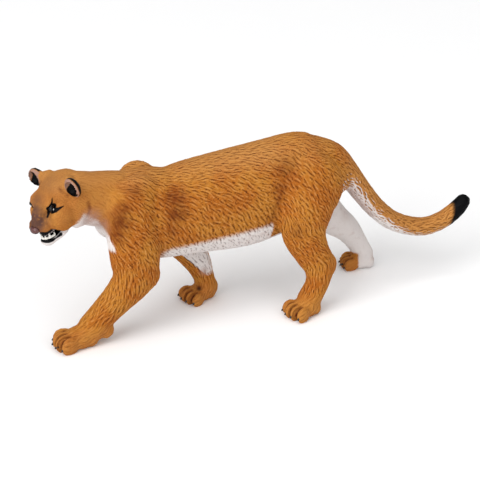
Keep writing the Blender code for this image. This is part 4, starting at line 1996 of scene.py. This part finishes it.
@dataclass(frozen=True)
class Studio:
    """The white table, soft lights and camera of the product picture.

    Attributes:
        azimuth: The camera's turn about the vertical, in degrees.
        elevation: Its angle above the floor, in degrees.
        distance: Its distance from what it is aimed at, in millimetres.
        picture_width: How wide the picture is at that distance, in millimetres.
        target: What it is aimed at, in the drawing.
        sensor: The width of its film, in millimetres.
        table_side: The side of the table, in metres.
        sky: How bright the white tent is.
        reach: How far off the lights hang, in metres.
        softboxes: The lights.
    """

    azimuth: float = -20.0
    elevation: float = 26.0
    distance: float = 600.0
    picture_width: float = 155.0
    target: Point = (0.0, -6.0, 27.0)
    sensor: float = 36.0
    table_side: float = 9.0
    sky: float = 0.4
    reach: float = 3.0
    softboxes: tuple[Softbox, ...] = (
        Softbox("key_softbox", -62.0, 36.0, 2.0, 62.0),
        Softbox("front_softbox", 5.0, 30.0, 2.8, 30.0),
        Softbox("top_softbox", -20.0, 80.0, 2.6, 32.0),
    )

    def _aim(self, thing: bpy.types.Object, target: Vector, way: tuple[float, float], away: float) -> None:
        """Places a camera or light round a target, and turns it there.

        Args:
            thing: What is placed.
            target: What it faces, in metres.
            way: Its turn about the vertical and its angle above the floor, in degrees.
            away: Its distance, in metres.
        """
        turn, lift = math.radians(way[0]), math.radians(way[1])
        back = Vector((math.sin(turn) * math.cos(lift), -math.cos(turn) * math.cos(lift), math.sin(lift)))
        thing.location = target + back * away
        thing.rotation_mode = "QUATERNION"
        thing.rotation_quaternion = (-back).to_track_quat("-Z", "Y")

    def camera(self) -> None:
        """Sets the camera where the photographer's stood."""
        data = bpy.data.cameras.new("product_camera")
        data.sensor_width = self.sensor
        data.lens = self.sensor * self.distance / self.picture_width
        data.clip_start = 0.02
        camera = placed("product_camera", data)
        target = Vector(np.array(self.target) + DRAWING_ORIGIN) * MM
        self._aim(camera, target, (self.azimuth, self.elevation), self.distance * MM)
        bpy.context.scene.camera = camera

    def table(self) -> None:
        """Lays the plain white table."""
        half = self.table_side / 2
        corners = np.array(((-half, -half, 0), (half, -half, 0), (half, half, 0), (-half, half, 0)))
        piece = placed("white_table", mesh_from("white_table", corners, np.array(((0, 1, 2, 3),))))
        g = Graph("white_table_card")
        g.shade("Base Color", g.blend(g.noise(30.0), (0.93, 0.93, 0.935, 1.0), (0.94, 0.94, 0.94, 1.0)))
        g.shade("Roughness", 0.8)
        piece.data.materials.append(g.material)

    def light(self, box: Softbox) -> None:
        """Hangs one soft light.

        Args:
            box: What it is like and where it hangs.
        """
        data = bpy.data.lights.new(box.name, "AREA")
        data.size = box.side
        data.energy = box.power
        self._aim(placed(box.name, data), Vector(), (box.azimuth, box.elevation), self.reach)

    def build(self) -> None:
        """Sets up the whole studio."""
        world = bpy.data.worlds.new("white_tent")
        world.use_nodes = True
        sky = world.node_tree.nodes["Background"]
        sky.inputs["Color"].default_value = (1.0, 1.0, 1.0, 1.0)
        sky.inputs["Strength"].default_value = self.sky
        bpy.context.scene.world = world
        bpy.context.scene.view_settings.view_transform = "Standard"
        self.table()
        for box in self.softboxes:
            self.light(box)
        self.camera()


def main() -> None:
    """Builds every piece of the figurine and its studio."""
    logging.basicConfig(level=logging.INFO, format="%(message)s")
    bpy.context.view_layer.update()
    Studio().build()
    Skin(Detail.FULL).build()
    nose = GlossPaint("nose_leather_paint", tint(78, 38, 36), tint(122, 78, 70), 0.5, 0.2)
    tooth = GlossPaint("tooth_white_paint", tint(238, 234, 226), tint(214, 206, 192), 0.3, 0.3)
    tongue = GlossPaint("tongue_pale_paint", tint(236, 224, 220), tint(214, 178, 172), 0.35, 0.3)
    Trimming("nose_leather", "nose", Slot.NOSE).build(nose.material())
    Trimming("lower_tooth_row", "teeth_lower", Slot.TOOTH, 0.1, 4).build(tooth.material())
    Trimming("tongue_slip", "tongue", Slot.TONGUE, 0.1, 6).build(tongue.material())
    for side, node in ((Side.LEFT, "eye_left"), (Side.RIGHT, "eye_right")):
        # The painted glint's place on each ball.
        painted_glint = HEAD.place((4.35, -5.4 * side.value, 4.1))
        paint = EyePaint(tuple(painted_glint)).material(f"{node}_gloss")
        Trimming(f"{side.name.lower()}_eye_ball", node, Slot.EYE, 0.1, 60).build(paint)
    claw = GlossPaint("claw_black_paint", tint(14, 11, 12), tint(46, 30, 22), 0.38, 0.1).material()
    for paw in PAWS:
        Claws(paw).build(claw)


if __name__ == "__main__":
    main()
